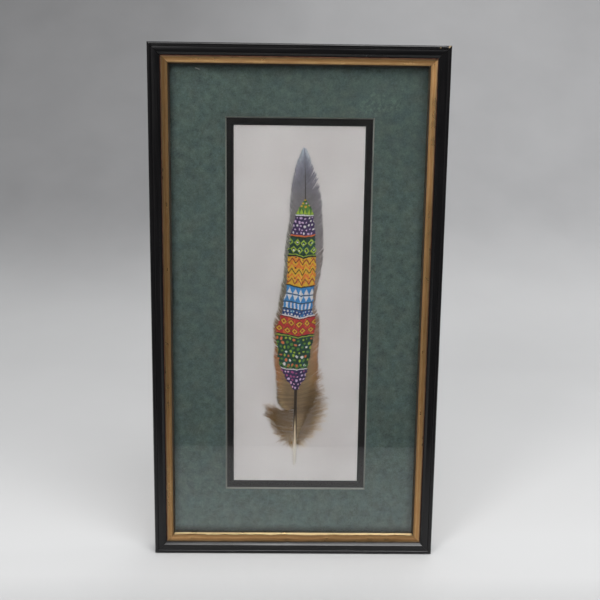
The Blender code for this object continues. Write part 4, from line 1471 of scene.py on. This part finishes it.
def paint(skin, rng):
    """The paint as one thin skin that lies over the barbs and the shaft."""
    starts = np.arange(*PAINT_STARTS, PAINT_PITCH)
    x, up, z, share = paint_grid(starts)
    rows, columns = x.shape
    centre = shaft_at(z.ravel())[0].reshape(z.shape)
    p = x - centre + 1.1 * (noise(x, z, 6, 21) - 0.5) + 0.5 * (noise(x, z, 1.6, 23) - 0.5)
    q = z - 0.16 * np.abs(x - centre)
    q = q + 1.6 * (noise(x + 50, z, 7, 22) - 0.5) + 0.5 * (noise(x, z, 1.5, 24) - 0.5)
    painter = Painter(p, q)
    paint_bands(painter)
    reach = read_table(PAINT_REACH, z.ravel()).reshape(z.shape + (2,))
    limit = np.where(share < 0, reach[..., 0], reach[..., 1])
    ragged = 0.07 * (rng.random((rows, 1)) - 0.5) + 0.08 * (noise(z, share * 0, 3.0, 31) - 0.5)
    edge = limit + ragged - np.abs(share)
    keep = (edge > 0) & (z > PAINT_FOOT) & (z < PAINT_TOP)
    thickness = 0.1 + painter.relief + 0.04 * noise(x, z * 2, 0.6, 41)
    thickness = thickness * smooth_step(0.0, 0.05, edge)
    verts = to_world(x, up + 0.07 + thickness, z).reshape(-1, 3)
    worn = smooth_step(0.02, 0.0, edge)[..., None] * 0.5
    tints = (painter.colour * (1 - worn) + seen(90, 80, 70) * worn).reshape(-1, 3)
    faces = strip_faces(1, rows, columns)
    faces = faces[keep.ravel()[faces].all(axis=1)]
    used = np.unique(faces)
    lookup = np.full(rows * columns, -1)
    lookup[used] = np.arange(len(used))
    obj = feather_piece("paint", verts[used], lookup[faces], tints[used], skin)
    turns = np.broadcast_to((starts / BARB_PITCH)[:, None], x.shape).ravel()
    uv = np.stack([share.ravel(), turns], axis=-1)[used]
    corners = np.empty(len(obj.data.loops), dtype=np.int32)
    obj.data.loops.foreach_get("vertex_index", corners)
    obj.data.uv_layers.new(name="barbs").data.foreach_set("uv", uv[corners].ravel())


# Back of the frame: the paper, the hanger's strip and its teeth, and the round pieces, in
# millimetres
PAPER_STEP = 2.5
PAPER_THICK = 0.18
HANGER_SHEET = 0.8
HANGER_RISE = 1.2
HANGER_TAB = 6.5
HANGER_RAMP = 1.6
TOOTH_PITCH = 2.0
TOOTH_DEPTH = 1.8
HOLE_RADIUS = 0.95
HOLE_SIDES = 24
NAIL_RADIUS = 0.65
NAIL_POINT = 1.6
NAIL_HEAD = 0.68
BUMPER_EDGE = 0.5
ROUND_SIDES = 48
SAME = 1e-6  # closer than this is the same place


def dust_cover(skin):
    """Kraft paper stretched over the back, puckered along its glued edges."""
    low, high = PAPER_LOW, PAPER_HIGH
    xs = np.arange(low[0], high[0] + 0.01, PAPER_STEP)
    zs = np.arange(low[2], high[2] + 0.01, PAPER_STEP)
    xs[-1], zs[-1] = high[0], high[2]
    x, z = np.meshgrid(xs, zs, indexing="ij")
    edge = np.minimum.reduce([x - low[0], high[0] - x, z - low[2], high[2] - z])
    slack = smooth_step(9.0, 26.0, edge)
    wave = noise(x, z * 0.35, 34, 51) + 0.5 * noise(x * 0.6 + z * 0.3, z, 21, 52) - 0.75
    pucker = np.sin((x + z) * 0.42 + 3 * noise(x, z, 40, 53)) * np.exp(-((edge - 12) / 9) ** 2)
    y = (low[1] + high[1]) / 2 + slack * wave * 0.28 + 0.06 * pucker * smooth_step(3, 9, edge)
    trim = 0.45 * (noise(z, x, 9, 54) - 0.5)
    at_side = smooth_step(4.0, 0.0, np.minimum(x - low[0], high[0] - x))
    x = x - np.sign(x) * np.abs(trim) * at_side
    at_end = smooth_step(4.0, 0.0, np.minimum(z - low[2], high[2] - z))
    z = z - np.sign(z - CENTRE_Z) * np.abs(trim) * at_end
    verts = np.stack([x, y, z], axis=-1).reshape(-1, 3)
    obj = make_object("dust_cover_paper", verts, strip_faces(1, len(xs), len(zs)), [skin])
    solid = obj.modifiers.new("sheet", "SOLIDIFY")
    solid.thickness = PAPER_THICK * MM
    solid.offset = 0.0
    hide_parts("dust_cover")


def strip_columns(half, top):
    """Where the raised strip's lower edge goes, tooth by tooth, as (x, z)."""
    ramp = half - HANGER_TAB - HANGER_RAMP
    teeth = int(2 * (ramp - 1) / TOOTH_PITCH)
    start = -teeth * TOOTH_PITCH / 2
    columns = [(-ramp, -top)]
    for k in range(2 * teeth + 1):
        columns.append((start + k * TOOTH_PITCH / 2, -top + (TOOTH_DEPTH if k % 2 else 0.0)))
    return [*columns, (ramp, -top)]


def holed_tab(bm, centre, front, top):
    """A tab with a nail hole: quads from the hole to the rim, and a triangle at each corner."""
    ring, rim = [], []
    for k in range(HOLE_SIDES):
        angle = 2 * math.pi * k / HOLE_SIDES
        c, s = math.cos(angle), math.sin(angle)
        reach = min(HANGER_TAB / 2 / max(abs(c), SAME), top / max(abs(s), SAME))
        ring.append(bm.verts.new((centre + HOLE_RADIUS * c, front, HOLE_RADIUS * s)))
        rim.append(bm.verts.new((centre + c * reach, front, s * reach)))
    corners = [
        bm.verts.new((centre + side * HANGER_TAB / 2, front, end * top))
        for side, end in ((1, 1), (-1, 1), (-1, -1), (1, -1))
    ]
    for k in range(HOLE_SIDES):
        n = (k + 1) % HOLE_SIDES
        bm.faces.new((ring[k], ring[n], rim[n], rim[k]))
        a, b = rim[k].co, rim[n].co
        if abs(a.x - b.x) > SAME and abs(a.z - b.z) > SAME:
            for corner in corners:
                if (corner.co.x - centre) * (a.x - centre) > 0 and corner.co.z * a.z > 0:
                    bm.faces.new((rim[k], rim[n], corner))


def hanger(skin):
    """The toothed strip with nail holes, raised in its middle, its edges rounded over."""
    half, front = HANGER_HIGH[0], HANGER_LOW[1]
    top = (HANGER_HIGH[2] - HANGER_LOW[2]) / 2
    bm = bmesh.new()
    lines = []
    for x, low in strip_columns(half, top):
        lines.append([bm.verts.new((x, front + HANGER_RISE, z)) for z in (low, top)])
    for this, following in zip(lines, lines[1:]):
        bm.faces.new((this[0], following[0], following[1], this[1]))
    for side, line in ((-1, lines[0]), (1, lines[-1])):
        inner = [bm.verts.new((side * (half - HANGER_TAB), front, z)) for z in (-top, top)]
        bm.faces.new((line[0], line[1], inner[1], inner[0]))
        holed_tab(bm, side * (half - HANGER_TAB / 2), front, top)
    bmesh.ops.remove_doubles(bm, verts=bm.verts, dist=0.001)
    bmesh.ops.recalc_face_normals(bm, faces=bm.faces)
    made = bmesh.ops.extrude_face_region(bm, geom=list(bm.faces))
    back = [item for item in made["geom"] if isinstance(item, bmesh.types.BMVert)]
    bmesh.ops.translate(bm, vec=(0, HANGER_SHEET, 0), verts=back)
    bmesh.ops.translate(bm, vec=(0, 0, (HANGER_LOW[2] + HANGER_HIGH[2]) / 2), verts=bm.verts)
    obj = from_bmesh("hanger_strip", bm, [skin], sharp=30)
    bevel = obj.modifiers.new("edges", "BEVEL")
    bevel.width = 0.12 * MM
    bevel.segments = 2
    bevel.limit_method = "ANGLE"
    bevel.angle_limit = math.radians(40)
    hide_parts("hanger")


def turned(node, name, profile_of, skin, sharp):
    """A round piece about the Y axis in place of a node, from its profile of (radius, y) points."""
    low, high = (np.array(corner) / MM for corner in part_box(node))
    profile = profile_of(low[1], high[1], (high[0] - low[0]) / 2)
    bm = bmesh.new()
    verts = [bm.verts.new((radius, y, 0.0)) for radius, y in profile]
    edges = [bm.edges.new(pair) for pair in zip(verts, verts[1:])]
    bmesh.ops.spin(
        bm,
        geom=verts + edges,
        cent=(0, 0, 0),
        axis=(0, 1, 0),
        angle=2 * math.pi,
        steps=ROUND_SIDES,
        use_merge=True,
    )
    bmesh.ops.remove_doubles(bm, verts=bm.verts, dist=0.001)
    centre = ((low[0] + high[0]) / 2, 0, (low[2] + high[2]) / 2)
    bmesh.ops.translate(bm, vec=centre, verts=bm.verts)
    obj = from_bmesh(name, bm, [skin], sharp)
    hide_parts(node)
    return obj


def nail_profile(low, high, radius):
    """A pointed shank, a thin flange and a domed head."""
    head = high - NAIL_HEAD
    dome = [
        (radius * math.cos(angle), head + 0.1 + (NAIL_HEAD - 0.1) * math.sin(angle))
        for angle in np.radians(np.linspace(0, 90, 9))
    ]
    return [
        (0.0, low),
        (NAIL_RADIUS, low + NAIL_POINT),
        (NAIL_RADIUS, head),
        (radius - 0.1, head),
        (radius, head + 0.08),
        *dome[:-1],
        (0.0, high),
    ]


def nails(skin):
    """Round-headed nails through the hanger's tabs."""
    for number in (1, 2):
        obj = turned(f"nail_{number}", f"nail_{number}_round", nail_profile, skin, sharp=40)


def bumper_profile(low, high, radius):
    """A disc with a rounded edge at its back."""
    centre = (radius - BUMPER_EDGE, high - BUMPER_EDGE)
    return [(0.0, low), (radius, low), *arc(centre, BUMPER_EDGE, 0, 90, 6), (0.0, high)]


def bumpers(skin):
    for side in ("left", "right"):
        obj = turned(f"bumper_{side}", f"bumper_{side}_felt", bumper_profile, skin, sharp=50)


# Whole object


def dress_nodes():
    """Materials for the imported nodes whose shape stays."""
    looks = {
        "glass": glass_material(),
        "outer_mat": mat_material(
            "green_mat",
            seen(53, 65, 61),
            seen(82, 98, 93),
            np.array((0.3, 0.31, 0.28)),
            np.array((0.2, 0.21, 0.19)),
            marks_and_lip_shade=True,
        ),
        "inner_mat": mat_material(
            "black_mat",
            np.array((0.0045, 0.0035, 0.0033)),
            np.array((0.012, 0.01, 0.0092)),
            np.array((0.02, 0.018, 0.017)),
            np.array((0.01, 0.009, 0.009)),
        ),
        "art_board": board_material("white_board", seen(188, 183, 182), seen(197, 193, 192)),
        "backing_board": board_material("grey_board", (0.24, 0.21, 0.17), (0.33, 0.3, 0.25)),
    }
    steel = steel_material()
    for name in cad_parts:
        if name.startswith("point_"):
            looks[name] = steel
    for name, look in looks.items():
        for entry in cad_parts[name].material_slots:
            entry.material = look
    return steel


# Painted light and shade on the leaf: how bright it is on each rail as the light falls on it, and
# how dark it grows towards its sight edge
GILT_PAINTED_SHADE = {
    "bottom": (0.52, 1.0),
    "right": (0.86, 0.75),
    "top": (1.02, 0.5),
    "left": (0.76, 0.75),
}


def build_object():
    rng = np.random.default_rng(SEED)
    steel = dress_nodes()
    lacquer = lacquer_material()
    ground = ground_material("red_ground", (0.05, 0.014, 0.008), (0.16, 0.06, 0.025))
    lip = ground_material("lip_side", (0.018, 0.012, 0.007), (0.06, 0.042, 0.022))
    wood = bare_wood_material()
    for side, (tone, edge) in GILT_PAINTED_SHADE.items():
        rail(side, [lacquer, ground, gilt_material(f"gilt_{side}", tone, edge), lip, wood])
    barbs = barb_material("feather_barbs", (0.5, 0.68), 0.05)
    fluff = barb_material("feather_down", (0.75, 0.9), 0.02)
    shaft(shaft_material())
    for side in ("left", "right"):
        vane(side, barbs, rng)
        down(side, fluff, rng)
    loose_barbs(barbs, rng)
    paint(paint_material(), rng)
    dust_cover(kraft_material())
    hanger(steel)
    nails(steel)
    bumpers(felt_material())


# Stage, light and camera: the sky's strength by height, and the table's edge in front of the frame
SKY_SPAN = {"From Min": 0.28, "From Max": 0.88, "To Min": 0.085, "To Max": 1.25}
TABLE_IN_FRONT = 0.286


def stage():
    """A pale table top that ends in front of the frame and sweeps up far behind it."""
    floor_z = FRAME_LOW[2] * MM
    front, bend, radius, half = FRONT_Y * MM - TABLE_IN_FRONT, 0.35, 1.3, 2.2
    sweep = arc((bend, floor_z + radius), radius, -90, 0, 40)[1:]
    foot = [(front, floor_z - 0.02), (front, floor_z), (bend, floor_z)]
    profile = [*foot, *sweep, (bend + radius, floor_z + radius + 1.2)]
    verts = [(x, y, z) for x in (-half, half) for y, z in profile]
    count = len(profile)
    faces = [(k, k + 1, count + k + 1, count + k) for k in range(count - 1)]
    mesh = bpy.data.meshes.new("table_top")
    mesh.from_pydata(verts, [], faces)
    link("table_top", mesh, [stage_material()], sharp=60)


def softbox(name, place, target, size, power, tone=(1.0, 1.0, 1.0)):
    data = bpy.data.lights.new(name, "AREA")
    data.shape = "RECTANGLE"
    data.size, data.size_y = size
    data.energy = power
    data.color = tone
    obj = bpy.data.objects.new(name, data)
    obj.location = place
    way = Vector(target) - Vector(place)
    obj.rotation_euler = way.to_track_quat("-Z", "Y").to_euler()
    bpy.context.scene.collection.objects.link(obj)
    return obj


def light():
    """A soft sky, brightest overhead and dim in front, with softboxes before and behind."""
    world = bpy.data.worlds.new("studio")
    bpy.context.scene.world = world
    world.use_nodes = True
    nodes, links = world.node_tree.nodes, world.node_tree.links
    found = nodes.new("ShaderNodeTexCoord")
    split = nodes.new("ShaderNodeSeparateXYZ")
    links.new(found.outputs["Generated"], split.inputs["Vector"])
    height = nodes.new("ShaderNodeMapRange")
    height.interpolation_type = "SMOOTHSTEP"
    links.new(split.outputs["Z"], height.inputs["Value"])
    for name, value in SKY_SPAN.items():
        height.inputs[name].default_value = value
    background = nodes["Background"]
    background.inputs["Color"].default_value = (0.97, 0.985, 1.0, 1.0)
    links.new(height.outputs["Result"], background.inputs["Strength"])
    middle = (0, 0, CENTRE_Z * MM)
    softbox("key", (-1.12, -1.9, 0.98), middle, (0.6, 0.6), 32.0, (1.0, 0.99, 0.985))
    softbox("ceiling", (0.95, -1.55, 1.6), middle, (1.6, 0.5), 16.0)
    softbox("overhead", (0.25, -1.0, 1.65), middle, (1.2, 0.58), 23.0)
    softbox("left_fill", (-1.3, -1.05, 0.0), middle, (1.0, 1.2), 0.8)
    right_fill = softbox("right_fill", (1.2, -1.25, -0.3), middle, (0.7, 0.7), 2.2)
    right_fill.visible_glossy = False
    softbox("bounce", (0.1, -0.48, -0.68), middle, (0.8, 0.2), 0.5)
    softbox("back_fill", (0.5, 1.2, 0.8), middle, (1.2, 0.9), 6.0)
    softbox("wall_fill", (1.1, 0.2, 0.6), (0.7, 1.6, 0.5), (0.8, 0.8), 12.0)


def camera():
    """The photograph's view, from the frame's front plane as its camera saw it."""
    to_scene = Matrix(((1, 0, 0), (0, 0, -1), (0, 1, 0)))
    turn_x, turn_y, turn_z = (
        Matrix.Rotation(math.radians(angle), 3, axis)
        for angle, axis in zip(CAMERA_TURNS, "XYZ")
    )
    turn = turn_z @ turn_y @ turn_x
    place = to_scene @ -(turn.transposed() @ Vector(CAMERA_SHIFT))
    place += Vector((0, FRONT_Y, CENTRE_Z))
    data = bpy.data.cameras.new("camera")
    data.lens = CAMERA_LENS
    data.sensor_width = 36.0
    data.clip_start = 0.01
    obj = bpy.data.objects.new("camera", data)
    obj.matrix_world = Matrix.Translation(place * MM) @ (to_scene @ turn.transposed()).to_4x4()
    bpy.context.scene.collection.objects.link(obj)
    bpy.context.scene.camera = obj


build_object()
stage()
light()
camera()
bpy.context.scene.view_settings.view_transform = "Standard"
